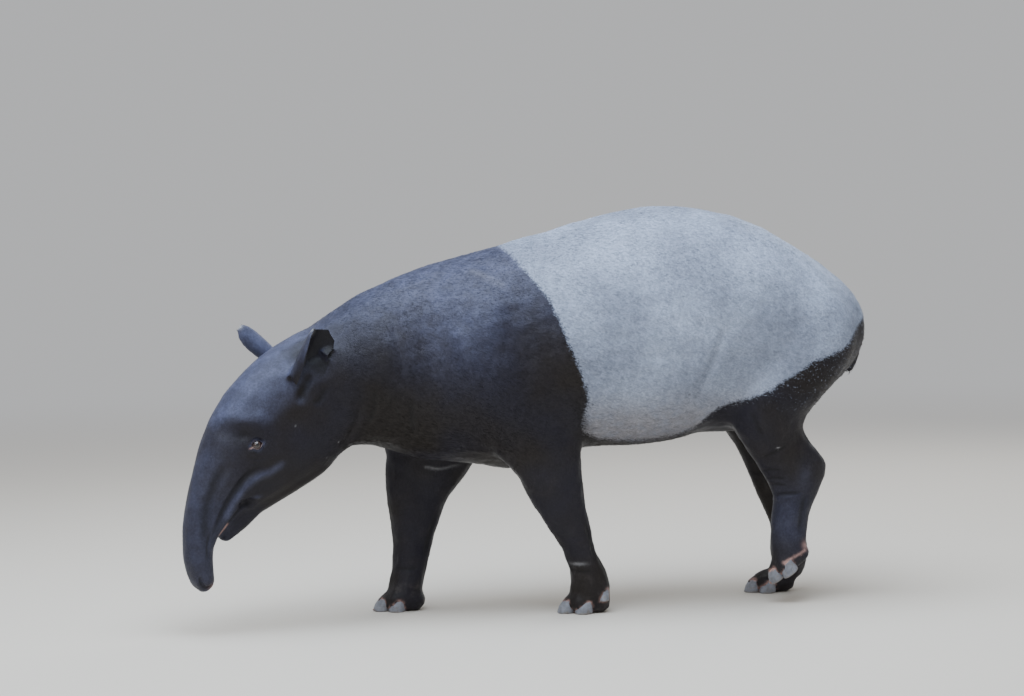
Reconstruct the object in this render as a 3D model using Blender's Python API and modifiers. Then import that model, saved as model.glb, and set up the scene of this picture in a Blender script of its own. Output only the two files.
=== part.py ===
"""Malayan tapir, life size, walking with its head lowered and turned to its left.

The animal walks towards -X, its left side is towards -Y, and it stands on z = 0.
Forms are described in animal coordinates: f is metres forward, s is metres to its
left, z is up. Head and neck are described straight, and `place` bends them.
"""
import math
from collections import namedtuple

import bmesh
import bpy
import numpy as np
from mathutils import Matrix, Vector

# Driving sizes, in metres and degrees
WITHERS_HEIGHT = 0.985
CROUP_HEIGHT = 1.071
BELLY_HEIGHT = 0.428
CHEST_HEIGHT = 0.386
BARREL_HALF_WIDTH = 0.276
RUMP_BACK = -0.972
STANCE_HALF_WIDTH = 0.105

NECK_TURN = math.radians(18.0)
TURN_START = 0.18
TURN_END = 0.62

EYE_RADIUS = 0.0155
EYE_PLACE = (0.750, 0.082, 0.484)
EAR_THICKNESS = 0.0065

HOOF_HEIGHT = 0.036
HIND_LIFT = 0.093
HIND_TOE_DROP = math.radians(35.0)

VOXEL = 0.006
GAP = 0.0004
FLESH_TRIANGLES = 2740
RING_SIDES = 32
BALL_SIDES = 12
BALL_BANDS = 7

COAT_BLACK = (0.022, 0.022, 0.026)
COAT_PALE = (0.46, 0.47, 0.52)
HOOF_GREY = (0.20, 0.19, 0.20)
EYE_BROWN = (0.06, 0.02, 0.012)

# One cross-section of a loft: top and bottom are (f, z), side and half are across
Row = namedtuple("Row", "top bottom half side widest crown keel",
                 defaults=(0.0, 0.5, 2.0, 2.0))


def clear_scene():
    """Remove whatever the file holds."""
    for old in list(bpy.data.objects):
        bpy.data.objects.remove(old, do_unlink=True)


def new_collection(name):
    """A collection linked to the scene."""
    group = bpy.data.collections.new(name)
    bpy.context.scene.collection.children.link(group)
    return group


def material(name, colour, roughness):
    """A Principled material."""
    made = bpy.data.materials.new(name)
    made.use_nodes = True
    shader = made.node_tree.nodes["Principled BSDF"]
    shader.inputs["Base Color"].default_value = (*colour, 1.0)
    shader.inputs["Roughness"].default_value = roughness
    shader.inputs["Metallic"].default_value = 0.0
    return made


def place(f, s, z):
    """World position of an animal point, with the neck and head bent left."""
    bend = NECK_TURN / (TURN_END - TURN_START)
    along = min(max(f - TURN_START, 0.0), TURN_END - TURN_START)
    rest = f - TURN_START - along
    angle = bend * along
    ahead = TURN_START + math.sin(angle) / bend + rest * math.cos(angle) - s * math.sin(angle)
    left = (1.0 - math.cos(angle)) / bend + rest * math.sin(angle) + s * math.cos(angle)
    return Vector((-ahead, -left, z))


def place_plain(f, s, z):
    """World position of an animal point that the bend leaves alone."""
    return Vector((-f, -s, z))


def facing(f):
    """How far the body at f is turned to the left, in radians."""
    along = min(max(f - TURN_START, 0.0), TURN_END - TURN_START)
    return NECK_TURN * along / (TURN_END - TURN_START)


def smooth_rows(rows, count):
    """Read evenly spaced rows from a smooth curve through the given ones."""
    values = np.array([(*r.top, *r.bottom, r.half, r.side, r.widest, r.crown, r.keel)
                       for r in rows])
    middle = (values[:, 0:2] + values[:, 2:4]) / 2.0
    steps = np.linalg.norm(np.diff(middle, axis=0), axis=1)
    knots = np.concatenate([[0.0], np.cumsum(steps)])
    slopes = np.gradient(values, knots, axis=0)
    at = np.linspace(0.0, knots[-1], count)
    k = np.clip(np.searchsorted(knots, at, side="right") - 1, 0, len(knots) - 2)
    span = (knots[k + 1] - knots[k])[:, None]
    x = (at - knots[k])[:, None] / span
    read = ((2 * x**3 - 3 * x**2 + 1) * values[k] + (x**3 - 2 * x**2 + x) * span * slopes[k]
            + (3 * x**2 - 2 * x**3) * values[k + 1] + (x**3 - x**2) * span * slopes[k + 1])
    return [Row(v[0:2], v[2:4], *v[4:9]) for v in read]


def ring(row, put, sides):
    """World points of one cross-section, a superellipse from bottom to top."""
    top = np.array(row.top)
    bottom = np.array(row.bottom)
    points = []
    for i in range(sides):
        angle = 2.0 * math.pi * i / sides
        across = math.cos(angle)
        rise = math.sin(angle)
        power = 2.0 / (row.crown if rise > 0 else row.keel)
        reach = (1.0 - row.widest) if rise > 0 else row.widest
        lift = row.widest + reach * math.copysign(abs(rise) ** power, rise)
        f, z = bottom + (top - bottom) * lift
        s = row.side + row.half * math.copysign(abs(across) ** power, across)
        points.append(put(f, s, z))
    return points


def mesh_object(name, builder, group):
    """An object from a function that fills a bmesh."""
    bm = bmesh.new()
    builder(bm)
    bmesh.ops.recalc_face_normals(bm, faces=bm.faces)
    mesh = bpy.data.meshes.new(name)
    bm.to_mesh(mesh)
    bm.free()
    made = bpy.data.objects.new(name, mesh)
    group.objects.link(made)
    return made


def loft(name, rows, count, put, group, sides=RING_SIDES):
    """A closed solid through the rows."""
    def fill(bm):
        rings = [[bm.verts.new(point) for point in ring(row, put, sides)]
                 for row in smooth_rows(rows, count)]
        for low, high in zip(rings, rings[1:]):
            for i in range(sides):
                j = (i + 1) % sides
                bm.faces.new((low[i], low[j], high[j], high[i]))
        bm.faces.new(rings[0])
        bm.faces.new(rings[-1])
    return mesh_object(name, fill, group)


def capsule(name, start, end, start_radius, end_radius, group):
    """A tapered rod with round ends between two world points."""
    def fill(bm):
        line = end - start
        turn = line.to_track_quat("Z", "Y").to_matrix().to_4x4()
        made = bmesh.ops.create_uvsphere(bm, u_segments=16, v_segments=12, radius=1.0)
        for vert in made["verts"]:
            upper = vert.co.z > 0.0
            local = vert.co * (end_radius if upper else start_radius)
            local.z += line.length if upper else 0.0
            vert.co = turn @ local + start
    return mesh_object(name, fill, group)


def ball(name, centre, radius, group):
    """A sphere about a world point."""
    def fill(bm):
        bmesh.ops.create_uvsphere(bm, u_segments=BALL_SIDES, v_segments=BALL_BANDS,
                                  radius=radius, matrix=Matrix.Translation(centre))
    return mesh_object(name, fill, group)


# Trunk, neck and head

def body_rows():
    """The trunk from the rump forward, the neck, the skull and the trunk-like nose."""
    croup = CROUP_HEIGHT
    belly = BELLY_HEIGHT
    wide = BARREL_HALF_WIDTH
    trunk = [
        Row((RUMP_BACK, 0.770), (RUMP_BACK + 0.004, 0.700), 0.045),
        Row((RUMP_BACK + 0.018, 0.808), (-0.952, 0.652), 0.105),
        Row((-0.915, 0.854), (-0.915, 0.605), 0.155),
        Row((-0.860, 0.900), (-0.855, 0.555), 0.195, widest=0.48),
        Row((-0.780, 0.955), (-0.775, 0.500), 0.228, widest=0.50),
        Row((-0.690, 1.008), (-0.680, 0.448), 0.248, widest=0.52),
        Row((-0.600, 1.043), (-0.590, 0.455), 0.258, widest=0.51, keel=2.1),
        Row((-0.500, croup - 0.006), (-0.500, belly + 0.026), wide - 0.010, widest=0.49, keel=2.2),
        Row((-0.400, croup), (-0.400, belly + 0.006), wide - 0.002, widest=0.47, keel=2.3),
        Row((-0.300, croup - 0.010), (-0.300, belly), wide, widest=0.46, keel=2.3),
        Row((-0.200, 1.037), (-0.200, belly + 0.001), wide - 0.004, widest=0.46, keel=2.3),
        Row((-0.100, 1.010), (-0.100, belly - 0.020), wide - 0.014, widest=0.46, keel=2.2),
        Row((0.000, WITHERS_HEIGHT), (0.000, CHEST_HEIGHT - 0.010), 0.246, widest=0.46),
        Row((0.090, 0.962), (0.090, CHEST_HEIGHT + 0.005), 0.230, widest=0.45, crown=1.9),
        Row((0.180, 0.941), (0.180, CHEST_HEIGHT + 0.016), 0.212, widest=0.45, crown=1.9),
        Row((0.260, 0.917), (0.265, CHEST_HEIGHT + 0.030), 0.194, widest=0.46, crown=1.9),
    ]
    neck = [
        Row((0.340, 0.889), (0.340, 0.443), 0.176, widest=0.47, crown=1.9),
        Row((0.420, 0.852), (0.400, 0.457), 0.156, widest=0.48, crown=1.9),
        Row((0.505, 0.803), (0.455, 0.455), 0.138, widest=0.50),
    ]
    skull = [
        Row((0.590, 0.760), (0.494, 0.426), 0.121, widest=0.56, keel=2.2),
        Row((0.665, 0.722), (0.546, 0.396), 0.113, widest=0.56, keel=2.3),
        Row((0.735, 0.672), (0.598, 0.372), 0.106, widest=0.54, keel=2.4),
        Row((0.795, 0.613), (0.647, 0.350), 0.098, widest=0.52, keel=2.5),
        Row((0.840, 0.548), (0.692, 0.330), 0.088, widest=0.48, keel=2.6),
        Row((0.870, 0.480), (0.735, 0.314), 0.076, widest=0.45, keel=2.7),
    ]
    nose = [
        Row((0.893, 0.408), (0.777, 0.299), 0.064, widest=0.44, keel=2.7),
        Row((0.911, 0.340), (0.813, 0.269), 0.054, widest=0.45, keel=2.5),
        Row((0.921, 0.282), (0.838, 0.238), 0.047, widest=0.46, keel=2.3),
        Row((0.925, 0.228), (0.844, 0.204), 0.043, widest=0.48),
        Row((0.920, 0.178), (0.843, 0.168), 0.041, widest=0.50),
        Row((0.908, 0.142), (0.840, 0.142), 0.038, widest=0.50),
        Row((0.892, 0.115), (0.844, 0.119), 0.029, widest=0.50),
        Row((0.878, 0.105), (0.856, 0.108), 0.013, widest=0.50),
    ]
    return trunk + neck + skull + nose


def jaw_rows():
    """The lower jaw from its angle to the lower lip."""
    return [
        Row((0.500, 0.540), (0.462, 0.470), 0.052),
        Row((0.550, 0.500), (0.505, 0.408), 0.058),
        Row((0.610, 0.450), (0.555, 0.374), 0.057, keel=2.2),
        Row((0.665, 0.410), (0.610, 0.348), 0.052, keel=2.2),
        Row((0.715, 0.370), (0.664, 0.322), 0.047, keel=2.2),
        Row((0.752, 0.335), (0.712, 0.298), 0.042, keel=2.2),
        Row((0.786, 0.298), (0.746, 0.268), 0.037, keel=2.2),
        Row((0.812, 0.262), (0.776, 0.249), 0.031),
        Row((0.824, 0.236), (0.801, 0.229), 0.021),
    ]


def tail_rows():
    """The short tail, hanging close to the rump."""
    return [
        Row((-0.930, 0.735), (-0.925, 0.690), 0.026),
        Row((-0.960, 0.712), (-0.940, 0.678), 0.025),
        Row((-0.974, 0.680), (-0.938, 0.660), 0.023),
        Row((-0.968, 0.645), (-0.932, 0.640), 0.019),
        Row((-0.957, 0.617), (-0.927, 0.614), 0.014),
        Row((-0.947, 0.600), (-0.934, 0.599), 0.006),
    ]


# Legs: each row runs from the leg's front edge to its rear edge at one height

def leg_rows(table, side_sign):
    """Rows of a leg from (height, front, rear, side, half width) lines."""
    return [Row((front, z), (rear, z), half, side=side_sign * side)
            for z, front, rear, side, half in table]


NEAR_FORE = (
    (0.880, 0.130, 0.030, 0.100, 0.050),
    (0.800, 0.190, 0.000, 0.130, 0.080),
    (0.700, 0.225, -0.045, 0.148, 0.092),
    (0.600, 0.215, -0.100, 0.150, 0.096),
    (0.520, 0.165, -0.140, 0.147, 0.090),
    (0.450, 0.100, -0.153, 0.142, 0.078),
    (0.380, 0.032, -0.154, 0.136, 0.066),
    (0.300, -0.015, -0.163, 0.129, 0.055),
    (0.220, -0.064, -0.179, 0.121, 0.047),
    (0.160, -0.101, -0.194, 0.115, 0.043),
    (0.110, -0.120, -0.218, 0.108, 0.045),
    (0.070, -0.124, -0.230, 0.104, 0.050),
    (0.040, -0.118, -0.228, 0.102, 0.052),
)

FAR_FORE = (
    (0.860, 0.180, 0.070, 0.100, 0.050),
    (0.780, 0.250, 0.040, 0.128, 0.078),
    (0.680, 0.310, 0.020, 0.142, 0.090),
    (0.580, 0.338, 0.010, 0.146, 0.090),
    (0.490, 0.338, 0.035, 0.142, 0.082),
    (0.410, 0.328, 0.068, 0.138, 0.070),
    (0.350, 0.330, 0.106, 0.134, 0.060),
    (0.290, 0.326, 0.156, 0.130, 0.053),
    (0.220, 0.319, 0.188, 0.125, 0.047),
    (0.160, 0.316, 0.207, 0.120, 0.043),
    (0.110, 0.320, 0.222, 0.114, 0.045),
    (0.070, 0.328, 0.236, 0.110, 0.050),
    (0.040, 0.340, 0.240, 0.108, 0.052),
)

NEAR_HIND = (
    (0.900, -0.640, -0.800, 0.110, 0.060),
    (0.800, -0.580, -0.890, 0.135, 0.090),
    (0.700, -0.560, -0.912, 0.145, 0.100),
    (0.610, -0.550, -0.866, 0.148, 0.100),
    (0.540, -0.548, -0.800, 0.148, 0.094),
    (0.480, -0.560, -0.757, 0.146, 0.080),
    (0.430, -0.590, -0.783, 0.142, 0.066),
    (0.380, -0.626, -0.823, 0.138, 0.055),
    (0.345, -0.647, -0.826, 0.134, 0.050),
    (0.300, -0.673, -0.806, 0.131, 0.046),
    (0.250, -0.673, -0.785, 0.129, 0.043),
    (0.200, -0.668, -0.774, 0.127, 0.041),
    (0.160, -0.666, -0.770, 0.126, 0.043),
    (0.130, -0.668, -0.762, 0.125, 0.045),
)

FAR_HIND = (
    (0.900, -0.640, -0.800, 0.110, 0.060),
    (0.800, -0.580, -0.890, 0.135, 0.090),
    (0.700, -0.560, -0.912, 0.145, 0.100),
    (0.610, -0.560, -0.880, 0.146, 0.100),
    (0.540, -0.570, -0.825, 0.143, 0.094),
    (0.480, -0.596, -0.795, 0.139, 0.078),
    (0.430, -0.634, -0.824, 0.135, 0.063),
    (0.380, -0.662, -0.853, 0.130, 0.053),
    (0.340, -0.679, -0.858, 0.126, 0.049),
    (0.290, -0.697, -0.838, 0.121, 0.045),
    (0.230, -0.720, -0.834, 0.115, 0.042),
    (0.170, -0.742, -0.845, 0.109, 0.041),
    (0.110, -0.748, -0.845, 0.104, 0.044),
    (0.070, -0.738, -0.838, 0.101, 0.049),
    (0.040, -0.720, -0.824, 0.100, 0.051),
)

# Toes: tip ahead of the ankle and to the outer side, turn outward, width, sole height
Toe = namedtuple("Toe", "digit ahead out turn width sole")
FORE_TOES = (
    Toe(2, 0.040, -0.041, -24.0, 0.042, 0.0),
    Toe(3, 0.078, 0.000, 0.0, 0.052, 0.0),
    Toe(4, 0.036, 0.043, 24.0, 0.046, 0.0),
    Toe(5, -0.036, 0.057, 80.0, 0.030, 0.032),
)
HIND_TOES = (
    Toe(2, 0.044, -0.043, -22.0, 0.042, 0.0),
    Toe(3, 0.078, 0.0, 0.0, 0.052, 0.0),
    Toe(4, 0.044, 0.043, 22.0, 0.042, 0.0),
)

# The joint above the toes, about which a lifted foot turns them down
BALL_BEHIND = 0.020
BALL_HEIGHT = 0.075


class Foot:
    """Where a foot stands, and how its own coordinates become world ones."""

    def __init__(self, name, f, s, out_sign, toes, lift=0.0, drop=0.0):
        self.name = name
        self.out_sign = out_sign
        self.toes = toes
        ball = Matrix.Translation((BALL_BEHIND, 0.0, BALL_HEIGHT))
        tip = ball @ Matrix.Rotation(-drop, 4, "Y") @ ball.inverted()
        self.matrix = Matrix.Translation(place_plain(f, s, lift)) @ tip

    def point(self, ahead, out, up):
        """World point of a place in the foot."""
        return self.matrix @ Vector((-ahead, -self.out_sign * out, up))


def feet():
    """The four feet; the near hind one is lifted with its toes down."""
    stance = STANCE_HALF_WIDTH
    return (
        Foot("fore_left", -0.164, stance - 0.005, 1, FORE_TOES),
        Foot("fore_right", 0.296, -stance, -1, FORE_TOES),
        Foot("hind_left", -0.686, stance + 0.020, 1, HIND_TOES, HIND_LIFT, HIND_TOE_DROP),
        Foot("hind_right", -0.739, -stance + 0.005, -1, HIND_TOES),
    )


# Toe flesh from its root to its tip: behind the hoof's front edge, and above its sole
TOE_ROOT = (0.064, 0.037)
TOE_TIP = (0.034, 0.022)
# The pad under the foot: outward place and radius of each rod, its ends and height
PAD_RODS = ((0.0, 0.033), (-0.022, 0.028), (0.022, 0.028))
PAD_BACK = -0.033
PAD_FRONT = 0.020
PAD_HEIGHT = 0.026


def foot_flesh(foot, group):
    """Toes and pads of one foot."""
    made = []
    for toe in foot.toes:
        turn = math.radians(toe.turn)
        front = Vector((toe.ahead, toe.out))
        back = Vector((-math.cos(turn), -math.sin(turn)))
        root = front + back * TOE_ROOT[0]
        tip = front + back * TOE_TIP[0]
        made.append(capsule(foot.name + "_toe",
                            foot.point(root.x, root.y, toe.sole + TOE_ROOT[1]),
                            foot.point(tip.x, tip.y, toe.sole + TOE_TIP[1]),
                            toe.width * 0.50, toe.width * 0.45, group))
    for out, radius in PAD_RODS:
        made.append(capsule(foot.name + "_pad", foot.point(PAD_BACK, out, PAD_HEIGHT),
                            foot.point(PAD_FRONT, out, PAD_HEIGHT), radius, radius, group))
    return made


# Levels of a hoof: share of its height, half its length, share of its width, middle
HOOF_LEVELS = (
    (0.00, 0.0235, 1.00, -0.0240),
    (0.50, 0.0205, 1.00, -0.0275),
    (0.88, 0.0145, 0.86, -0.0320),
    (1.00, 0.0080, 0.55, -0.0340),
)
HOOF_SIDES = 10
HOOF_ROUNDNESS = 0.85


def hoof(name, foot, toe, grow, group):
    """A blunt nail round the front of a toe, sloping back to its top."""
    turn = math.radians(toe.turn)
    width = toe.width / 2.0 + grow

    def fill(bm):
        rings = []
        for height, depth, share, middle in HOOF_LEVELS:
            up = toe.sole - grow + height * (HOOF_HEIGHT + 2.0 * grow)
            row = []
            for i in range(HOOF_SIDES):
                angle = 2.0 * math.pi * i / HOOF_SIDES
                ahead = middle + (depth + grow) * math.cos(angle)
                across = math.copysign(abs(math.sin(angle)) ** HOOF_ROUNDNESS, math.sin(angle))
                out = width * share * across
                row.append(bm.verts.new(foot.point(
                    toe.ahead + ahead * math.cos(turn) - out * math.sin(turn),
                    toe.out + ahead * math.sin(turn) + out * math.cos(turn), up)))
            rings.append(row)
        for low, high in zip(rings, rings[1:]):
            for i in range(HOOF_SIDES):
                j = (i + 1) % HOOF_SIDES
                bm.faces.new((low[i], low[j], high[j]))
                bm.faces.new((low[i], high[j], high[i]))
        bm.faces.new(rings[0])
        bm.faces.new(rings[-1])
    return mesh_object(name, fill, group)


# Soft forms pressed into or raised from the joined flesh

Swell = namedtuple("Swell", "f s z reach height", defaults=(0.0,))
SWELLS = (
    # brow and cheek on each side, then the hollow in front of the eye
    Swell(0.735, 0.088, 0.530, (0.050, 0.030, 0.030), 0.004),
    Swell(0.690, 0.100, 0.455, (0.070, 0.040, 0.050), 0.004),
    Swell(0.600, 0.110, 0.500, (0.080, 0.050, 0.080), 0.005),
    Swell(0.790, 0.080, 0.510, (0.030, 0.030, 0.022), -0.007),
    Swell(0.752, 0.095, 0.485, (0.020, 0.030, 0.016), -0.005),
    Swell(0.785, 0.060, 0.395, (0.040, 0.030, 0.030), 0.004),
)
BODY_SWELLS = (
    # scapula crest, hollow before the shoulder, hollow behind it, flank and hip, left then right
    Swell(0.080, 0.200, 0.830, (0.060, 0.080, 0.110), 0.010),
    Swell(0.270, 0.190, 0.700, (0.035, 0.080, 0.140), -0.010),
    Swell(-0.120, 0.260, 0.560, (0.040, 0.080, 0.100), -0.008),
    Swell(-0.560, 0.240, 0.600, (0.045, 0.080, 0.110), -0.012),
    Swell(-0.660, 0.220, 0.880, (0.060, 0.080, 0.050), 0.006),
    Swell(0.150, -0.200, 0.820, (0.060, 0.080, 0.110), 0.010),
    Swell(-0.080, -0.260, 0.560, (0.040, 0.080, 0.100), -0.008),
    Swell(-0.560, -0.240, 0.600, (0.045, 0.080, 0.110), -0.012),
    Swell(-0.660, -0.220, 0.880, (0.060, 0.080, 0.050), 0.006),
)


def press(points, normals, swell, put, angle):
    """Move points along their normals under one soft patch."""
    centre = np.array(put(swell.f, swell.s, swell.z))
    local = points - centre
    turn = np.array(Matrix.Rotation(angle, 3, "Z"))
    local = local @ turn
    weight = np.exp(-np.sum((local / np.array(swell.reach)) ** 2, axis=1))
    return points + normals * (weight * swell.height)[:, None]


def mesh_arrays(mesh):
    """Positions and normals of a mesh as arrays."""
    points = np.zeros(len(mesh.vertices) * 3)
    mesh.vertices.foreach_get("co", points)
    normals = np.zeros(len(mesh.vertices) * 3)
    mesh.vertex_normals.foreach_get("vector", normals)
    return points.reshape(-1, 3), normals.reshape(-1, 3)


def settle(thing):
    """Replace an object's mesh by its evaluated one, without modifiers."""
    graph = bpy.context.evaluated_depsgraph_get()
    mesh = bpy.data.meshes.new_from_object(thing.evaluated_get(graph))
    thing.modifiers.clear()
    thing.data = mesh
    return thing


def join(things, name, group):
    """One object from several, as loose shells."""
    bm = bmesh.new()
    for thing in things:
        bm.from_mesh(thing.data)
    mesh = bpy.data.meshes.new(name)
    bm.to_mesh(mesh)
    bm.free()
    for thing in things:
        bpy.data.objects.remove(thing)
    made = bpy.data.objects.new(name, mesh)
    group.objects.link(made)
    return made


def largest_shell(thing):
    """Keep only the biggest connected piece of an object's mesh."""
    bm = bmesh.new()
    bm.from_mesh(thing.data)
    seen = set()
    shells = []
    for vert in bm.verts:
        if vert in seen:
            continue
        shell = []
        stack = [vert]
        seen.add(vert)
        while stack:
            here = stack.pop()
            shell.append(here)
            for edge in here.link_edges:
                other = edge.other_vert(here)
                if other not in seen:
                    seen.add(other)
                    stack.append(other)
        shells.append(shell)
    shells.sort(key=len)
    small = [vert for shell in shells[:-1] for vert in shell]
    bmesh.ops.delete(bm, geom=small, context="VERTS")
    bm.to_mesh(thing.data)
    bm.free()


def boolean(thing, cutter, operation):
    """Cut or intersect an object with another, at once."""
    step = thing.modifiers.new("cut", "BOOLEAN")
    step.operation = operation
    step.solver = "EXACT"
    step.object = cutter
    settle(thing)


def build_flesh(group):
    """Trunk, neck, head, legs and feet as one smooth closed body."""
    shapes = [
        loft("body", body_rows(), 90, place, group),
        loft("jaw", jaw_rows(), 30, place, group),
        loft("near_fore", leg_rows(NEAR_FORE, 1), 40, place_plain, group),
        loft("far_fore", leg_rows(FAR_FORE, -1), 40, place_plain, group),
        loft("near_hind", leg_rows(NEAR_HIND, 1), 40, place_plain, group),
        loft("far_hind", leg_rows(FAR_HIND, -1), 40, place_plain, group),
    ]
    for foot in feet():
        shapes += foot_flesh(foot, group)
    flesh = join(shapes, "flesh", group)
    fuse = flesh.modifiers.new("fuse", "REMESH")
    fuse.mode = "VOXEL"
    fuse.voxel_size = VOXEL
    soften = flesh.modifiers.new("soften", "SMOOTH")
    soften.factor = 0.5
    soften.iterations = 8
    settle(flesh)
    largest_shell(flesh)
    points, normals = mesh_arrays(flesh.data)
    for swell in SWELLS:
        for side in (1, -1):
            both = swell._replace(s=swell.s * side)
            points = press(points, normals, both, place, facing(swell.f))
    for swell in BODY_SWELLS:
        points = press(points, normals, swell, place, facing(swell.f))
    flesh.data.vertices.foreach_set("co", points.ravel())
    flesh.data.update()
    thin = flesh.modifiers.new("thin", "DECIMATE")
    thin.ratio = FLESH_TRIANGLES / (2.0 * len(flesh.data.polygons))
    settle(flesh)
    floor = box("floor_cut", Vector((0.0, 0.0, -0.25)), (3.0, 1.2, 0.5), Matrix.Identity(3), group)
    boolean(flesh, floor, "DIFFERENCE")
    bpy.data.objects.remove(floor)
    return flesh


def box(name, centre, size, turn, group):
    """A box of the given size about a centre, turned by a matrix."""
    def fill(bm):
        matrix = Matrix.Translation(centre) @ turn.to_4x4() @ Matrix.Diagonal((*size, 1.0))
        bmesh.ops.create_cube(bm, size=1.0, matrix=matrix)
    return mesh_object(name, fill, group)


def part_off(name, flesh, centre, size, turn, group, cutters):
    """Cut the piece inside a box from the flesh, and leave a thin gap round it."""
    inner = box("inner", centre, size, turn, cutters)
    outer = box("outer", centre, [length + 2.0 * GAP for length in size], turn, cutters)
    piece = bpy.data.objects.new(name, flesh.data.copy())
    group.objects.link(piece)
    boolean(piece, inner, "INTERSECT")
    boolean(flesh, outer, "DIFFERENCE")
    largest_shell(piece)
    largest_shell(flesh)
    bpy.data.objects.remove(inner)
    bpy.data.objects.remove(outer)
    return piece


def axes(forward, up_hint):
    """A turning matrix whose Y axis is forward and whose Z is near the hint."""
    y = forward.normalized()
    x = y.cross(up_hint).normalized()
    z = x.cross(y)
    return Matrix((x, y, z)).transposed()


def beyond(name, flesh, point, ahead, reach, depth, group, cutters, up=Vector((0, 0, 1))):
    """Part off what lies past a plane: ahead points past it, reach is (across, up)."""
    turn = axes(ahead, up)
    centre = point + ahead.normalized() * depth / 2.0
    return part_off(name, flesh, centre, (reach[0], depth, reach[1]), turn, group, cutters)


def animal_direction(f, ahead, up):
    """World direction of an animal (ahead, up) direction in the turned neck at f."""
    start = place(f, 0.0, 0.0)
    end = place(f + 0.001, 0.0, 0.0)
    level = (end - start).normalized()
    return (level * ahead + Vector((0, 0, 1)) * up).normalized()


# Where the flesh is parted: an animal point (f, z) and the direction (ahead, up) past it
SNOUT_CUT = ((0.862, 0.300), (0.38, -1.0))
MOUTH_LINE = ((0.760, 0.3376), (0.626, -0.780))
HEAD_CUT = ((0.515, 0.620), (0.80, -0.42))
NECK_CUT = ((0.330, 0.660), (0.97, -0.16))
JAW_BOX = (0.24, 0.26, 0.11)
SHOULDER_CUT = 0.02
HIP_CUT = -0.56
LEG_TILT = 0.55
LEG_CUTS = (
    # name, side, rear and front limits, heights of the body cut, the knee and the ankle
    ("fore_left", 1, (-0.30, 0.27), 0.455, 0.230, 0.075),
    ("fore_right", -1, (-0.02, 0.46), 0.455, 0.230, 0.075),
    ("hind_left", 1, (-0.93, -0.47), 0.530, 0.330, 0.135),
    ("hind_right", -1, (-0.96, -0.49), 0.530, 0.350, 0.080),
)
LEG_MIDDLE = 0.16
LEG_REACH = 0.32
UPPER_LEG_REACH = 0.36
BODY_REACH = (1.0, 1.4)


def divide(flesh, group, cutters):
    """Part the flesh into its named nodes with thin cuts."""
    nodes = []
    ahead = Vector((1, 0, 0))
    down = Vector((0, 0, -1))

    # The jaw box hangs under the mouth line, and ends just past the lower lip
    (f, z), way = MOUTH_LINE
    jaw_turn = axes(animal_direction(f, *way), Vector((0, 0, 1)))
    sink = jaw_turn @ down * JAW_BOX[2] / 2.0
    nodes.append(part_off("lower_jaw", flesh, place(f, 0.0, z) + sink, JAW_BOX, jaw_turn,
                          group, cutters))
    for name, cut, reach, depth in (("snout", SNOUT_CUT, (0.30, 0.34), 0.30),
                                    ("head", HEAD_CUT, (0.60, 0.90), 0.60)):
        (f, z), way = cut
        nodes.append(beyond(name, flesh, place(f, 0.0, z), animal_direction(f, *way), reach,
                            depth, group, cutters))
    for name, side, span, top, knee, ankle in LEG_CUTS:
        middle = -(span[0] + span[1]) / 2.0
        length = span[1] - span[0]
        for part, height, way, reach in (
                ("_foot", ankle, down, LEG_REACH),
                ("_lower_leg", knee, down, LEG_REACH),
                ("_upper_leg", top, Vector((0.0, -side * LEG_TILT, -1.0)), UPPER_LEG_REACH)):
            level = Vector((middle, -side * LEG_MIDDLE, height))
            nodes.append(beyond(name + part, flesh, level, way, (reach, length), 0.40,
                                group, cutters, ahead))
    (f, z), way = NECK_CUT
    nodes.append(beyond("neck", flesh, place(f, 0.0, z), animal_direction(f, *way),
                        (0.70, 0.60), 0.50, group, cutters))
    nodes.append(beyond("hindquarters", flesh, place_plain(HIP_CUT, 0.0, 0.7), ahead,
                        BODY_REACH, 0.60, group, cutters))
    nodes.append(beyond("shoulders", flesh, place_plain(SHOULDER_CUT, 0.0, 0.7), -ahead,
                        BODY_REACH, 0.60, group, cutters))
    flesh.name = "trunk"
    nodes.append(flesh)
    return nodes


def grown(thing, distance, cutters):
    """A copy of an object swollen along its normals."""
    copy = bpy.data.objects.new(thing.name + "_grown", thing.data.copy())
    cutters.objects.link(copy)
    points, normals = mesh_arrays(copy.data)
    copy.data.vertices.foreach_set("co", (points + normals * distance).ravel())
    copy.data.update()
    return copy


def seat(thing, bodies, cutters):
    """Trim a piece where it would enter the bodies that carry it."""
    for body in bodies:
        cutter = grown(body, GAP, cutters)
        boolean(thing, cutter, "DIFFERENCE")
        bpy.data.objects.remove(cutter)
    largest_shell(thing)


# Ears: a leaf-shaped cup on a stalk, open towards `mouth`
NEAR_EAR = ((0.642, 0.076, 0.654), (0.584, 0.116, 0.776))
FAR_EAR = ((0.600, -0.070, 0.682), (0.702, -0.108, 0.779))
# Half width, breadth at the stalk, how blunt the tip is, how far the rear rim is drawn up,
# and whether that rim is torn
NEAR_EAR_LEAF = (0.056, 0.42, 18.0, 0.09, True)
FAR_EAR_LEAF = (0.030, 0.20, 5.0, 0.0, False)
NEAR_EAR_BACK = 0.6
FAR_EAR_AHEAD = 0.2
EAR_ROWS = 9
EAR_COLUMNS = 7
STALK_CURL = math.radians(128.0)
TIP_CURL = math.radians(66.0)
CUP_DEPTH = 0.85
TEAR_DEPTH = 0.36
TEAR_PLACE = 0.63
TEAR_LENGTH = 0.07


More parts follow.
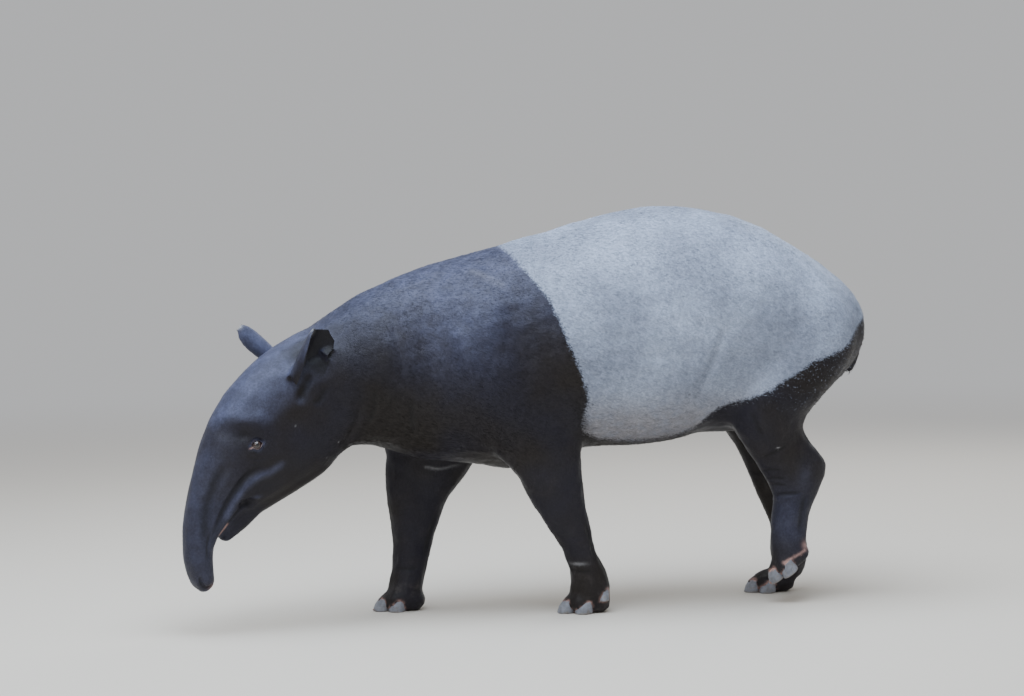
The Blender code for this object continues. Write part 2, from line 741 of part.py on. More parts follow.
def ear(name, base, tip, mouth, leaf_form, group):
    """One ear as a cupped leaf with a real thickness, and an optional torn rim."""
    half_width, stalk, bluntness, rear_lift, torn_rim = leaf_form
    length = (tip - base).length
    along = (tip - base).normalized()
    across = along.cross(mouth).normalized()
    out = across.cross(along)

    def fill(bm):
        grid = []
        for i in range(EAR_ROWS):
            u = i / (EAR_ROWS - 1)
            leaf = min(1.0, (stalk + u) ** 0.5) * max(0.0, 1.0 - (u / 1.02) ** bluntness) ** 0.5
            half = half_width * leaf
            curl = STALK_CURL + (TIP_CURL - STALK_CURL) * u
            line = []
            for j in range(EAR_COLUMNS + 1):
                v = 2.0 * j / EAR_COLUMNS - 1.0
                torn = 1.0
                if torn_rim and v > 0.6:
                    torn -= TEAR_DEPTH * math.exp(-((u - TEAR_PLACE) / TEAR_LENGTH) ** 2)
                angle = v * curl
                side = half * torn * math.sin(angle) / math.sin(min(curl, math.pi / 2.0))
                depth = half * (1.0 - math.cos(angle)) * CUP_DEPTH
                rise = length * (u - 0.10 * (v * v) * (1.0 - u) + rear_lift * max(v, 0.0) * u)
                line.append(bm.verts.new(base + along * rise + across * side + out * depth))
            grid.append(line)
        for low, high in zip(grid, grid[1:]):
            for j in range(EAR_COLUMNS):
                bm.faces.new((low[j], low[j + 1], high[j + 1], high[j]))

    made = mesh_object(name, fill, group)
    wall = made.modifiers.new("wall", "SOLIDIFY")
    wall.thickness = EAR_THICKNESS
    wall.offset = 0.0
    settle(made)
    return made


def build_ears(head, neck, group, cutters):
    """The near ear opens to its side and back, the far one shows its back to the side."""
    aside = place(0.65, 1.0, 0.0) - place(0.65, 0.0, 0.0)
    ahead = animal_direction(0.65, 1.0, 0.0)
    left = ear("ear_left", place(*NEAR_EAR[0]), place(*NEAR_EAR[1]),
               aside - ahead * NEAR_EAR_BACK, NEAR_EAR_LEAF, group)
    right = ear("ear_right", place(*FAR_EAR[0]), place(*FAR_EAR[1]),
                ahead * FAR_EAR_AHEAD - aside, FAR_EAR_LEAF, group)
    for made in (left, right):
        seat(made, [head, neck], cutters)
    return [left, right]


def build_eyes(flesh, group, cutters):
    """Eyeballs in round sockets."""
    eyes = []
    for name, side in (("eye_left", 1), ("eye_right", -1)):
        f, s, z = EYE_PLACE
        centre = place(f, side * s, z)
        socket = ball("socket", centre, EYE_RADIUS + GAP, cutters)
        boolean(flesh, socket, "DIFFERENCE")
        bpy.data.objects.remove(socket)
        eyes.append(ball(name, centre, EYE_RADIUS, group))
    return eyes


def build_hooves(flesh, group, cutters):
    """Every hoof, and its seat cut from the flesh."""
    hooves = []
    for foot in feet():
        for toe in foot.toes:
            name = f"hoof_{foot.name}_{toe.digit}"
            hooves.append(hoof(name, foot, toe, 0.0, group))
            cutter = hoof("seat", foot, toe, GAP, cutters)
            boolean(flesh, cutter, "DIFFERENCE")
            bpy.data.objects.remove(cutter)
    return hooves


def finish(thing, surface):
    """Give an object its material and smooth shading."""
    thing.data.materials.clear()
    thing.data.materials.append(surface)
    thing.data.shade_smooth()
    thing.data.set_sharp_from_angle(angle=math.radians(50.0))


def main():
    """Build the whole animal."""
    clear_scene()
    group = new_collection("malayan_tapir")
    cutters = new_collection("cutters")
    coat = material("coat_black", COAT_BLACK, 0.55)
    pale = material("coat_pale", COAT_PALE, 0.60)
    horn = material("hoof", HOOF_GREY, 0.50)
    iris = material("eye", EYE_BROWN, 0.10)

    flesh = build_flesh(group)
    hooves = build_hooves(flesh, group, cutters)
    eyes = build_eyes(flesh, group, cutters)
    nodes = divide(flesh, group, cutters)
    by_name = {node.name: node for node in nodes}
    ears = build_ears(by_name["head"], by_name["neck"], group, cutters)
    tail = loft("tail", tail_rows(), 9, place, group, sides=12)
    seat(tail, [by_name["hindquarters"]], cutters)

    for node in nodes + ears + [tail]:
        finish(node, pale if node.name == "trunk" else coat)
    for node in hooves:
        finish(node, horn)
    for node in eyes:
        finish(node, iris)

    # The origin is the middle of the floor under the animal's box
    made = nodes + ears + [tail] + hooves + eyes
    corners = [Vector(corner) for thing in made for corner in thing.bound_box]
    low = [min(corner[i] for corner in corners) for i in range(3)]
    high = [max(corner[i] for corner in corners) for i in range(3)]
    shift = Vector((-(low[0] + high[0]) / 2.0, -(low[1] + high[1]) / 2.0, -low[2]))
    for thing in made:
        thing.data.transform(Matrix.Translation(shift))
        thing.data.update()


main()
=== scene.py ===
"""Looks of the Malayan tapir: one sculpted skin, short coat tufts, wet eyes and worn hooves.

Forms are described in the same straight animal coordinates as the solids: f is metres
forward, s is metres to the animal's left, z is up. `place` bends the neck to the left.
Lines and spots on the skin are listed in millimetres, and lines give f and z only.
"""
import math

import bmesh
import bpy
import numpy as np
from mathutils import Matrix, Vector
from mathutils.bvhtree import BVHTree

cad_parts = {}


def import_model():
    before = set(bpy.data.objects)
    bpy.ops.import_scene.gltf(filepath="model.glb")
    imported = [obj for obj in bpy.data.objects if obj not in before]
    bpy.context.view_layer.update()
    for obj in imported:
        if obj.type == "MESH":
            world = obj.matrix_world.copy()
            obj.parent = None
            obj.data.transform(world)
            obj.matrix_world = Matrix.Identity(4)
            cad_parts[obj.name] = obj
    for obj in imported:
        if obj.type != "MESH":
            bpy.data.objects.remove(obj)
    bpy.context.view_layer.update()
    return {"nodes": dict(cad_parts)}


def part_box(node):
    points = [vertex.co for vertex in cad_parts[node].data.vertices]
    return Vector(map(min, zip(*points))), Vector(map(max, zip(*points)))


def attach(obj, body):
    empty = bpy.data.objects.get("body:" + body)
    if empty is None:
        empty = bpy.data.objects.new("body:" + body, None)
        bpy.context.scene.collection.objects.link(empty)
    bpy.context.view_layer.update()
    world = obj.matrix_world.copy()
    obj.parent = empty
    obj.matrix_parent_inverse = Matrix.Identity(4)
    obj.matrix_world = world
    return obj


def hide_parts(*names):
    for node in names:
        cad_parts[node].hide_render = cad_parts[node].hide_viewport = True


MM_PER_M = 1000.0
SIDES = (1, -1)

# The bend of neck and head, as in the solids
NECK_TURN = math.radians(18.0)
TURN_START = 0.18
TURN_END = 0.62
BEND = NECK_TURN / (TURN_END - TURN_START)

# Camera, fitted to the photograph
IMAGE_WIDTH = 1024
CAMERA_AZIMUTH = math.radians(-12.0)
CAMERA_ELEVATION = math.radians(3.2)
CAMERA_ROLL = math.radians(-1.2)
CAMERA_DISTANCE = 7.5
CAMERA_HEIGHT = 0.70
FOCAL_PIXELS = 2820.0
SENSOR = 36.0
CLIP_END = 200.0

# The eye: centre, radius, lids, half sizes of its opening, slant, the way it faces
EYE = (0.750, 0.082, 0.484)
EYE_RADIUS = 0.0155
LID_THICKNESS = 0.0017
LID_FLOOR = 0.0085
OPEN_LONG = 0.0132
OPEN_UP = 0.0092
OPEN_DOWN = 0.0090
EYE_SLANT = math.radians(-14.0)
EYE_FACING = (0.20, 0.96, 0.14)
EYE_REGION = 0.030

# The skin's mesh: remesh size, smoothing, finer head, softened root of the near ear
SKIN_VOXEL = 0.0052
RELAX_ROUNDS = 36
HEAD_ZOOM = 1.9
HEAD_CENTRE = (0.74, 0.0, 0.43)
HEAD_REACH = 0.40
EYE_REFINING = (0.030, 0.021)
EAR_CORNER = (0.655, 0.104, 0.652)
EAR_CORNER_REACH = 0.020
EAR_CORNER_MELT = 0.9

# The skin's depth under the solids' surface, and its least height
OVERLAP = 0.0007
COAT_DEPTH = 0.0022
SKIN_FLOOR = 0.0005

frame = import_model()
nodes = frame["nodes"]
random = np.random.default_rng(20)

FLESH = [name for name in sorted(nodes) if not name.startswith(("hoof_", "eye_"))]
HOOVES = [name for name in sorted(nodes) if name.startswith("hoof_")]


# Numbers

RIPPLE_WAVES = 7
RIPPLE_SCALE = 3.2


def rise(low, high, values):
    """Smooth step from 0 at low to 1 at high."""
    t = np.clip((values - low) / (high - low), 0.0, 1.0)
    return t * t * (3.0 - 2.0 * t)


def bell(values, width):
    """1 at zero, fading over the width."""
    return np.exp(-(values / width) ** 2)


def toward(values, target, share):
    """Values moved a share of the way to the target."""
    return values + (target - values) * share


def unit(vectors):
    """Vectors of length one."""
    length = np.linalg.norm(vectors, axis=-1, keepdims=True)
    return vectors / np.maximum(length, 1e-12)


def ripple(points, size, seed):
    """Smooth pseudo-random values from about -1 to 1, from a few seeded waves."""
    waves = np.random.default_rng(seed)
    total = np.zeros(len(points))
    for _ in range(RIPPLE_WAVES):
        way = unit(waves.normal(size=3)) / size * waves.uniform(0.6, 1.5)
        total += np.sin(points @ (way * 2.0 * math.pi) + waves.uniform(0.0, 6.28))
    return total / RIPPLE_SCALE


# Coordinates

def place(f, s, z):
    """World points of straight animal points, before the shift to the frame's origin."""
    f, s, z = np.broadcast_arrays(*[np.asarray(v, float) for v in (f, s, z)])
    along = np.clip(f - TURN_START, 0.0, TURN_END - TURN_START)
    rest = f - TURN_START - along
    angle = BEND * along
    ahead = TURN_START + np.sin(angle) / BEND + rest * np.cos(angle) - s * np.sin(angle)
    left = (1.0 - np.cos(angle)) / BEND + rest * np.sin(angle) + s * np.cos(angle)
    return np.stack([-ahead, -left, z], axis=-1)


def find_shift():
    """How far the solids stand from the straight description, read from an eye's box."""
    low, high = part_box("eye_left")
    return (np.array(low) + np.array(high)) / 2.0 - place(*EYE)


SHIFT = find_shift()


def world(f, s, z):
    """World points in the frame."""
    return place(f, s, z) + SHIFT


def straight(points):
    """Straight animal coordinates (f, s, z) and turn angle of world points."""
    ahead, left, z = (np.asarray(points, float) - SHIFT).T * np.array([[-1.0], [-1.0], [1.0]])
    turn = np.arctan2(ahead - TURN_START, 1.0 / BEND - left)
    turn = np.clip(turn, 0.0, NECK_TURN)
    past = ahead - TURN_START - np.sin(turn) / BEND
    aside = left - (1.0 - np.cos(turn)) / BEND
    f = TURN_START + turn / BEND + past * np.cos(turn) + aside * np.sin(turn)
    s = aside * np.cos(turn) - past * np.sin(turn)
    return np.stack([f, s, z], axis=1), turn


def spin(vectors, cosine, sine):
    """Vectors turned about the upright axis."""
    x, y, z = vectors.T
    return np.stack([x * cosine - y * sine, x * sine + y * cosine, z], axis=1)


def to_world_direction(vectors, turn):
    """World directions of straight (f, s, z) directions at places with the given turn."""
    return spin(vectors, -np.cos(turn), -np.sin(turn))


def to_straight_direction(vectors, turn):
    """Straight (f, s, z) directions of world directions."""
    return spin(vectors, -np.cos(turn), np.sin(turn))


# Mesh helpers

def read(items, key, width, kind=float):
    """Rows of numbers from all items of a mesh."""
    values = np.zeros(len(items) * width, dtype=kind)
    items.foreach_get(key, values)
    return values.reshape(-1, width)


def mesh_points(mesh):
    """Vertex positions of a mesh."""
    return read(mesh.vertices, "co", 3)


def mesh_normals(mesh):
    """Vertex normals of a mesh."""
    return read(mesh.vertex_normals, "vector", 3)


def mesh_edges(mesh):
    """Vertex pairs of a mesh's edges."""
    return read(mesh.edges, "vertices", 2, np.int64)


def mesh_triangles(mesh):
    """Vertex numbers of a mesh's triangles."""
    mesh.calc_loop_triangles()
    return read(mesh.loop_triangles, "vertices", 3, np.int64)


def flat(values, kind=np.float32):
    """One plain row of numbers, as meshes take them."""
    return np.ascontiguousarray(values, dtype=kind).ravel()


def set_points(mesh, points):
    """Write vertex positions."""
    mesh.vertices.foreach_set("co", flat(points))
    mesh.update()


def put_values(mesh, name, values):
    """A float or vector attribute on the vertices."""
    kind, key = ("FLOAT", "value") if values.ndim == 1 else ("FLOAT_VECTOR", "vector")
    layer = mesh.attributes.new(name, kind, "POINT")
    layer.data.foreach_set(key, flat(values))


def put_map(mesh, uv):
    """The flat map that the export bakes into."""
    layer = mesh.uv_layers.new(name="OFBake")
    layer.data.foreach_set("uv", flat(uv))


def new_object(name, data):
    """An object in the scene."""
    made = bpy.data.objects.new(name, data)
    bpy.context.scene.collection.objects.link(made)
    return made


def triangle_mesh(name, points, triangles):
    """A mesh from arrays of points and triangles."""
    mesh = bpy.data.meshes.new(name)
    mesh.vertices.add(len(points))
    mesh.vertices.foreach_set("co", flat(points))
    mesh.loops.add(len(triangles) * 3)
    mesh.loops.foreach_set("vertex_index", flat(triangles, np.int32))
    mesh.polygons.add(len(triangles))
    mesh.polygons.foreach_set("loop_start", np.arange(0, len(triangles) * 3, 3, dtype=np.int32))
    mesh.update(calc_edges=True)
    return mesh


def tube_faces(levels, sides):
    """Triangles of stacked rings, closed by two end points that follow the rings."""
    j = np.arange(sides)
    k = (j + 1) % sides
    low = np.arange(levels - 1)[:, None] * sides
    high = low + sides
    last = (levels - 1) * sides
    ends = np.full((2, sides), levels * sides)
    ends[1] += 1
    faces = [(low + j, low + k, high + k), (low + j, high + k, high + j),
             (ends[0], k, j), (ends[1], last + j, last + k)]
    return np.concatenate([np.stack(face, axis=-1).reshape(-1, 3) for face in faces])


def outward(thing):
    """Make an object's faces point outward, and shade them smooth."""
    bm = bmesh.new()
    bm.from_mesh(thing.data)
    bmesh.ops.recalc_face_normals(bm, faces=bm.faces)
    bm.to_mesh(thing.data)
    bm.free()
    thing.data.shade_smooth()


def finish_piece(thing, surface, replaced):
    """Material, replaced nodes and body of a piece."""
    thing.data.materials.clear()
    thing.data.materials.append(surface)
    if replaced:
        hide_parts(*replaced)
    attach(thing, "root")


# Regions of the animal

# Each ear: base, tip, how far up it leaves the head, reach about its axis, where its mouth faces
EARS = (
    ((0.642, 0.076, 0.654), (0.584, 0.116, 0.776), 0.36, 0.075, (-0.51, 0.86, 0.0)),
    ((0.600, -0.070, 0.682), (0.702, -0.108, 0.779), 0.14, 0.052, (0.20, -0.98, 0.0)),
)
EAR_END = 1.4
TAIL_TOP = 0.70


def ear_place(p, ear):
    """Share of the way up an ear and distance from its axis."""
    base, tip = np.array(ear[0]), np.array(ear[1])
    way = tip - base
    up = (p - base) @ way / (way @ way)
    return up, np.linalg.norm(p - base - up[:, None] * way, axis=1)


def ear_measure(p):
    """1 on the ears, 0 away from them."""
    on_ear = np.zeros(len(p), bool)
    for ear in EARS:
        up, gap = ear_place(p, ear)
        on_ear |= (up > ear[2]) & (up < EAR_END) & (gap < ear[3])
    return on_ear.astype(float)


def leg_measure(p):
    """1 on the legs, 0 on the body, smooth between."""
    f, _, z = p.T
    fore = rise(0.47, 0.36, z) * (f > -0.33) * (f < 0.50)
    hind = rise(0.56, 0.44, z) * (f < -0.46)
    return np.clip(fore + hind, 0.0, 1.0)


def nose_measure(p):
    """0 at the cheek to 1 on the hanging nose."""
    return rise(0.36, 0.24, p[:, 2]) * rise(0.80, 0.86, p[:, 0])


def on_tail(p, start, half_width, top=TAIL_TOP):
    """Whether points are on the tail."""
    f, s, z = p.T
    return (f < start) & (np.abs(s) < half_width) & (z < top)


def eye_frame(side):
    """Centre and axes (towards the nose, up, outward) of an eye, in straight coordinates."""
    mirror = np.array([1.0, side, 1.0])
    out = unit(mirror * EYE_FACING)
    ahead = np.array([math.cos(EYE_SLANT), 0.0, math.sin(EYE_SLANT)])
    ahead = unit(ahead - out * (ahead @ out))
    up = np.cross(out, ahead) * side
    return mirror * EYE, ahead, up * (1.0 if up[2] > 0.0 else -1.0), out


def eye_measures(p, side):
    """Local place at an eye: ahead, up, out, radius, and how far inside the opening."""
    centre, ahead, up, out = eye_frame(side)
    local = p - centre
    u, v, w = local @ ahead, local @ up, local @ out
    share = np.clip(np.abs(u / OPEN_LONG), 0.0, 1.0)
    upper = OPEN_UP * (1.0 - share**2.2) ** 0.75
    lower = -OPEN_DOWN * (1.0 - share**2.0) ** 0.85
    inside = np.minimum(upper - v, v - lower)
    inside = np.where(np.abs(u) > OPEN_LONG, -np.hypot(np.abs(u) - OPEN_LONG, v), inside)
    return u, v, w, np.hypot(u, v), inside


def tear_corner(u, v, ahead):
    """1 at the eye's corner towards the nose, fading around it."""
    return bell(u - OPEN_LONG - ahead, 0.0050) * bell(v + 0.003, 0.0022)


def smooth_line(line, step=0.003):
    """Points every few millimetres on a smooth curve through a line's points, in metres."""
    points = np.array(line, float) / MM_PER_M
    spans = np.linalg.norm(np.diff(points, axis=0), axis=1)
    knots = np.concatenate([[0.0], np.cumsum(spans)])
    slopes = np.gradient(points, knots, axis=0, edge_order=1)
    at = np.linspace(0.0, knots[-1], max(3, int(knots[-1] / step)))
    k = np.clip(np.searchsorted(knots, at, side="right") - 1, 0, len(knots) - 2)
    span = (knots[k + 1] - knots[k])[:, None]
    x = (at - knots[k])[:, None] / span
    return ((2 * x**3 - 3 * x**2 + 1) * points[k] + (x**3 - 2 * x**2 + x) * span * slopes[k]
            + (3 * x**2 - 2 * x**3) * points[k + 1] + (x**3 - x**2) * span * slopes[k + 1])


def line_distance(places, line):
    """Distance of flat places to a line, and how far along it the nearest place is."""
    best = np.full(len(places), np.inf)
    along = np.zeros(len(places))
    for i, (a, b) in enumerate(zip(line, line[1:])):
        way = b - a
        t = np.clip(((places - a) @ way) / (way @ way), 0.0, 1.0)
        gap = np.linalg.norm(places - a - t[:, None] * way, axis=1)
        nearer = gap < best
        best = np.where(nearer, gap, best)
        along = np.where(nearer, (i + t) / (len(line) - 1), along)
    return best, along


def line_mark(p, line, width):
    """1 on a line across the animal's side, fading over its width in millimetres."""
    gap, _ = line_distance(p[:, [0, 2]], smooth_line(line))
    return bell(gap, width / MM_PER_M)


def spot(p, centre, reach):
    """1 at a place, fading over its reach, both in millimetres."""
    offset = (p - np.array(centre) / MM_PER_M) / (np.array(reach) / MM_PER_M)
    return np.exp(-np.sum(offset**2, axis=1))


# Lines pressed into the skin: points, width, height, and side or 0 for both

SHOULDER_CREST = ((223, 839), (185, 889), (148, 909), (118, 908), (85, 892), (62, 872))
CHEEK_RIDGE = ((690, 430), (715, 415), (748, 402), (783, 376), (806, 342), (822, 306))
NOSE_GROOVE = ((722, 438), (750, 426), (778, 408), (802, 378), (824, 342), (842, 302),
               (856, 262), (864, 228))
MOUTH = ((844, 232), (830, 258), (815, 283), (797, 309), (780, 325), (755, 334))
STROKES = (
    # groove from under the eye to the nose, and the cheek ridge below it
    (NOSE_GROOVE, 7.5, -6.2, 0),
    (CHEEK_RIDGE, 11.5, 6.2, 0),
    # mouth line and the lips on both sides of it
    (MOUTH, 2.6, -6.0, 0),
    (((848, 250), (830, 278), (812, 306), (790, 333)), 6.0, 2.0, 0),
    (((822, 240), (806, 266), (790, 292), (768, 313)), 6.0, 2.2, 0),
    # brow, hollow in front of the eye, and folds under it
    (((840, 545), (800, 556), (755, 552), (715, 532)), 22.0, 1.8, 0),
    (((850, 512), (830, 517), (800, 519), (768, 514)), 17.0, -2.4, 0),
    (((786, 462), (768, 452), (745, 449), (722, 458)), 3.0, -1.6, 0),
    (((782, 448), (762, 438), (738, 437)), 3.6, -1.3, 0),
    (((728, 505), (712, 496), (700, 480)), 4.0, -1.2, 0),
    # long folds on the side of the nose
    (((820, 462), (845, 418), (868, 365), (881, 312), (884, 255), (880, 200)), 11.0, -3.4, 0),
    (((818, 478), (852, 425), (880, 370), (902, 312), (910, 250)), 9.5, 2.0, 0),
    (((800, 440), (822, 412), (842, 378), (860, 337), (869, 290), (871, 240)), 7.5, 3.0, 0),
    (((868, 280), (875, 230), (873, 185)), 4.2, -1.8, 0),
    (((893, 330), (902, 280), (904, 230)), 5.0, -1.2, 0),
    # notch in front of the ear, the back edge of the jaw, creases of throat and neck
    (((600, 665), (612, 640), (628, 612), (640, 580)), 11.0, -5.0, 0),
    (((560, 635), (575, 600), (600, 575)), 10.0, -3.0, 0),
    (((505, 445), (478, 490), (462, 545), (460, 600)), 13.0, -5.0, 0),
    (((440, 500), (425, 560), (425, 630)), 9.0, -2.2, 0),
    (((352, 840), (358, 760), (352, 690), (345, 620)), 15.0, -4.5, 0),
    (((322, 600), (318, 540), (300, 480)), 10.0, -3.0, 0),
    # crest of the shoulder blade
    (SHOULDER_CREST, 15.0, 4.8, 0),
    (((200, 790), (170, 700), (150, 610)), 26.0, 5.0, 0),
    (((50, 760), (20, 670), (-10, 590)), 26.0, -4.5, 0),
    # folds behind the shoulder and elbow, and along the flank
    (((-100, 690), (-140, 652), (-190, 612)), 7.0, -1.6, 0),
    (((-118, 560), (-145, 510), (-165, 470)), 10.0, -4.5, 0),
    (((-545, 790), (-515, 735), (-495, 685), (-477, 640), (-457, 585), (-455, 540)),
     18.0, -7.0, 0),
    (((-505, 760), (-470, 700), (-445, 640), (-425, 590)), 22.0, 3.0, 0),
    (((-418, 640), (-416, 590), (-425, 550)), 8.0, -1.6, 0),
    (((-440, 630), (-438, 580), (-450, 535)), 8.0, -1.5, 0),
    # near thigh, knee and hock
    (((-593, 530), (-612, 480), (-630, 445)), 6.0, -3.0, 1),
    (((-624, 386), (-650, 403), (-680, 420), (-705, 438)), 4.0, -3.4, 1),
    (((-636, 356), (-660, 362), (-690, 360)), 3.5, -2.2, 1),
    (((-645, 335), (-670, 340), (-700, 336)), 3.0, -2.2, 1),
    (((-652, 318), (-680, 322), (-708, 318)), 3.0, -2.0, 1),
    (((-662, 288), (-690, 296), (-725, 298), (-752, 304)), 4.0, -3.8, 1),
    (((-664, 276), (-695, 283), (-730, 286)), 5.0, 1.8, 1),
    # far hock
    (((-660, 400), (-690, 405), (-720, 420)), 4.0, -2.6, -1),
    (((-672, 365), (-700, 368), (-730, 366)), 3.5, -2.2, -1),
    (((-684, 325), (-712, 330), (-750, 334)), 4.0, -3.0, -1),
    # wrists of both fore legs
    (((-75, 215), (-105, 205), (-135, 205), (-165, 212)), 5.0, -1.6, 1),
    (((-110, 118), (-140, 112), (-175, 116)), 4.5, -1.8, 1),
    (((310, 212), (280, 205), (240, 210)), 5.0, -1.6, -1),
    (((310, 118), (280, 112), (245, 116)), 4.5, -1.8, -1),
    # tendons behind the lower legs
    (((-150, 260), (-172, 190), (-190, 130)), 7.0, -2.6, 1),
    (((190, 270), (215, 200), (232, 130)), 7.0, -2.6, -1),
    (((-752, 300), (-745, 240), (-738, 180)), 7.0, -3.0, 1),
    (((-805, 300), (-805, 230), (-815, 150)), 7.0, -3.0, -1),
)
STROKE_REACH = 2.6
GROOVE_DEPTH = -1.7
GROOVE_WIDTH = 12.0

# Soft round forms on both sides: place, reach, height
DIMPLES = (
    ((763, 65, 336), 12.0, -15.0),
    ((782, 64, 331), 10.0, -11.0),
    ((746, 66, 349), 8.5, 4.4),
    ((748, 58, 316), 12.0, 4.0),
    ((779, 80, 510), 13.0, -3.4),
    ((700, 100, 455), 35.0, 3.0),
    ((655, 105, 540), 30.0, -2.8),
    ((870, 55, 400), 30.0, -2.0),
    ((620, 105, 470), 50.0, 4.0),
)
NOSTRIL = ((893, 150), (886, 132), (873, 122), (862, 128))
NOSE_RING_SPACING = 0.0105
NOSE_RING_DEPTH = 0.0007


# The skin: flesh nodes fused, smoothed and sculpted

def joined(names, grow):
    """One mesh of the named nodes, each grown a little so that they overlap."""
    points = []
    triangles = []
    start = 0
    for name in names:
        mesh = nodes[name].data
        corners = mesh_triangles(mesh)
        welded, place_of = np.unique(np.round(mesh_points(mesh), 6), axis=0, return_inverse=True)
        corners = place_of.reshape(-1)[corners]
        a, b, c = (welded[corners[:, i]] for i in range(3))
        face = np.cross(b - a, c - a)
        normals = np.zeros_like(welded)
        for i in range(3):
            np.add.at(normals, corners[:, i], face)
        points.append(welded + unit(normals) * grow)
        triangles.append(corners + start)
        start += len(welded)
    return np.concatenate(points), np.concatenate(triangles)


def scale_head(points, reach, factor):
    """Scale space within reach of the head's centre, and shift what lies beyond."""
    centre = world(*HEAD_CENTRE)
    offset = points - centre
    radius = np.maximum(np.linalg.norm(offset, axis=1, keepdims=True), 1e-9)
    scaled = np.where(radius < reach, factor * radius, factor * reach + radius - reach)
    return centre + offset * scaled / radius


def biggest_piece(mesh):
    """Drop all but the largest connected piece."""
    pairs = mesh_edges(mesh)
    label = np.arange(len(mesh.vertices))
    before = None
    while before is None or not np.array_equal(before, label):
        before = label.copy()
        low = np.minimum(label[pairs[:, 0]], label[pairs[:, 1]])
        np.minimum.at(label, pairs[:, 0], low)
        np.minimum.at(label, pairs[:, 1], low)
        label = label[label]
    kinds, counts = np.unique(label, return_counts=True)
    bm = bmesh.new()
    bm.from_mesh(mesh)
    drop = [vert for vert, mine in zip(bm.verts, label != kinds[np.argmax(counts)]) if mine]
    bmesh.ops.delete(bm, geom=drop, context="VERTS")
    bm.to_mesh(mesh)
    bm.free()


def relax(points, pairs, weight, rounds):
    """Move every point towards the mean of its neighbours, by its own weight."""
    count = len(points)
    degree = np.bincount(pairs.ravel(), minlength=count)[:, None]
    for _ in range(rounds):
        total = np.empty_like(points)
        for axis in range(3):
            total[:, axis] = (np.bincount(pairs[:, 0], points[pairs[:, 1], axis], count)
                              + np.bincount(pairs[:, 1], points[pairs[:, 0], axis], count))
        points = points + weight[:, None] * (total / degree - points)
    return points


def smoothing_weight(p):
    """How strongly the skin relaxes: much on the barrel, little on feet and ears."""
    f, _, z = p.T
    weight = toward(0.85, 0.50, rise(0.42, 0.60, f))
    weight = toward(weight, 0.17, leg_measure(p))
    weight = toward(weight, 0.06, rise(0.16, 0.09, z) * (f < 0.5))
    weight[on_tail(p, -0.90, 0.040)] = 0.15
    weight[ear_measure(p) > 0.5] = 0.10
    return weight


def refine(mesh, chosen):
    """Split the faces whose vertices are all chosen once."""
    bm = bmesh.new()
    bm.from_mesh(mesh)
    flags = chosen.tolist()
    edges = [edge for edge in bm.edges
             if flags[edge.verts[0].index] and flags[edge.verts[1].index]]
    bmesh.ops.subdivide_edges(bm, edges=edges, cuts=1, use_grid_fill=True, smooth=0.0)
    bm.to_mesh(mesh)
    bm.free()


def build_skin():
    """The fused and smoothed skin, refined round the eyes."""
    points, triangles = joined(FLESH + HOOVES + ["eye_left", "eye_right"], OVERLAP)
    points = scale_head(points, HEAD_REACH, HEAD_ZOOM)
    skin = new_object("skin", triangle_mesh("skin", points, triangles))
    fuse = skin.modifiers.new("fuse", "REMESH")
    fuse.mode = "VOXEL"
    fuse.voxel_size = SKIN_VOXEL
    graph = bpy.context.evaluated_depsgraph_get()
    mesh = bpy.data.meshes.new_from_object(skin.evaluated_get(graph))
    skin.modifiers.clear()
    skin.data = mesh
    biggest_piece(mesh)
    points = scale_head(mesh_points(mesh), HEAD_ZOOM * HEAD_REACH, 1.0 / HEAD_ZOOM)
    pairs = mesh_edges(mesh)
    points = relax(points, pairs, smoothing_weight(straight(points)[0]), RELAX_ROUNDS)
    gap = np.linalg.norm(straight(points)[0] - EAR_CORNER, axis=1)
    melt = EAR_CORNER_MELT * bell(gap, EAR_CORNER_REACH)
    set_points(mesh, relax(points, pairs, melt, RELAX_ROUNDS))
    for reach in EYE_REFINING:
        p, _ = straight(mesh_points(mesh))
        gaps = [np.linalg.norm(p - eye_frame(side)[0], axis=1) for side in SIDES]
        refine(mesh, np.minimum(*gaps) < reach)
    return skin


def stroke_values(p, facing_side, points, width, side):
    """Strength 0 to 1 of one stroke at straight points p."""
    line = smooth_line(points)
    places = p[:, [0, 2]]
    reach = STROKE_REACH * width
    near = ((places > line.min(0) - reach) & (places < line.max(0) + reach)).all(1)
    if side:
        near &= p[:, 1] * side > 0.0
    index = np.nonzero(near)[0]
    value = np.zeros(len(p))
    gap, along = line_distance(places[index], line)
    ends = rise(0.0, 0.30, along) * rise(1.0, 0.70, along)
    value[index] = bell(gap, width) * ends * facing_side[index]
    return value


def nose_rings(p, n):
    """Shallow rings across the nose, strongest on its front."""
    along = p[:, 2] + 0.25 * (p[:, 0] - 0.88) + 0.004 * ripple(p, 0.05, 3)
    wave = np.abs(np.sin(along * math.pi / NOSE_RING_SPACING)) ** 0.5
    return -NOSE_RING_DEPTH * (1.0 - wave) * nose_measure(p) * rise(-0.5, 0.6, n[:, 0])


def nostrils(p):
    """Comma-shaped openings at the sides of the nose's end."""
    gap, along = line_distance(p[:, [0, 2]], smooth_line(NOSTRIL))
    sideways = rise(0.006, 0.014, np.abs(p[:, 1]))
    ends = rise(0.0, 0.2, along) * rise(1.0, 0.8, along)
    return (0.0014 * bell(gap - 0.0075, 0.0032) - 0.0062 * bell(gap, 0.0032) * ends) * sideways


def body_unevenness(p):
    """Low lumps of muscle and fat under the skin."""
    lumps = 0.0011 * ripple(p, 0.110, 5) + 0.0006 * ripple(p, 0.045, 6)
    return lumps * rise(0.55, 0.35, p[:, 0]) * (1.0 - ear_measure(p))


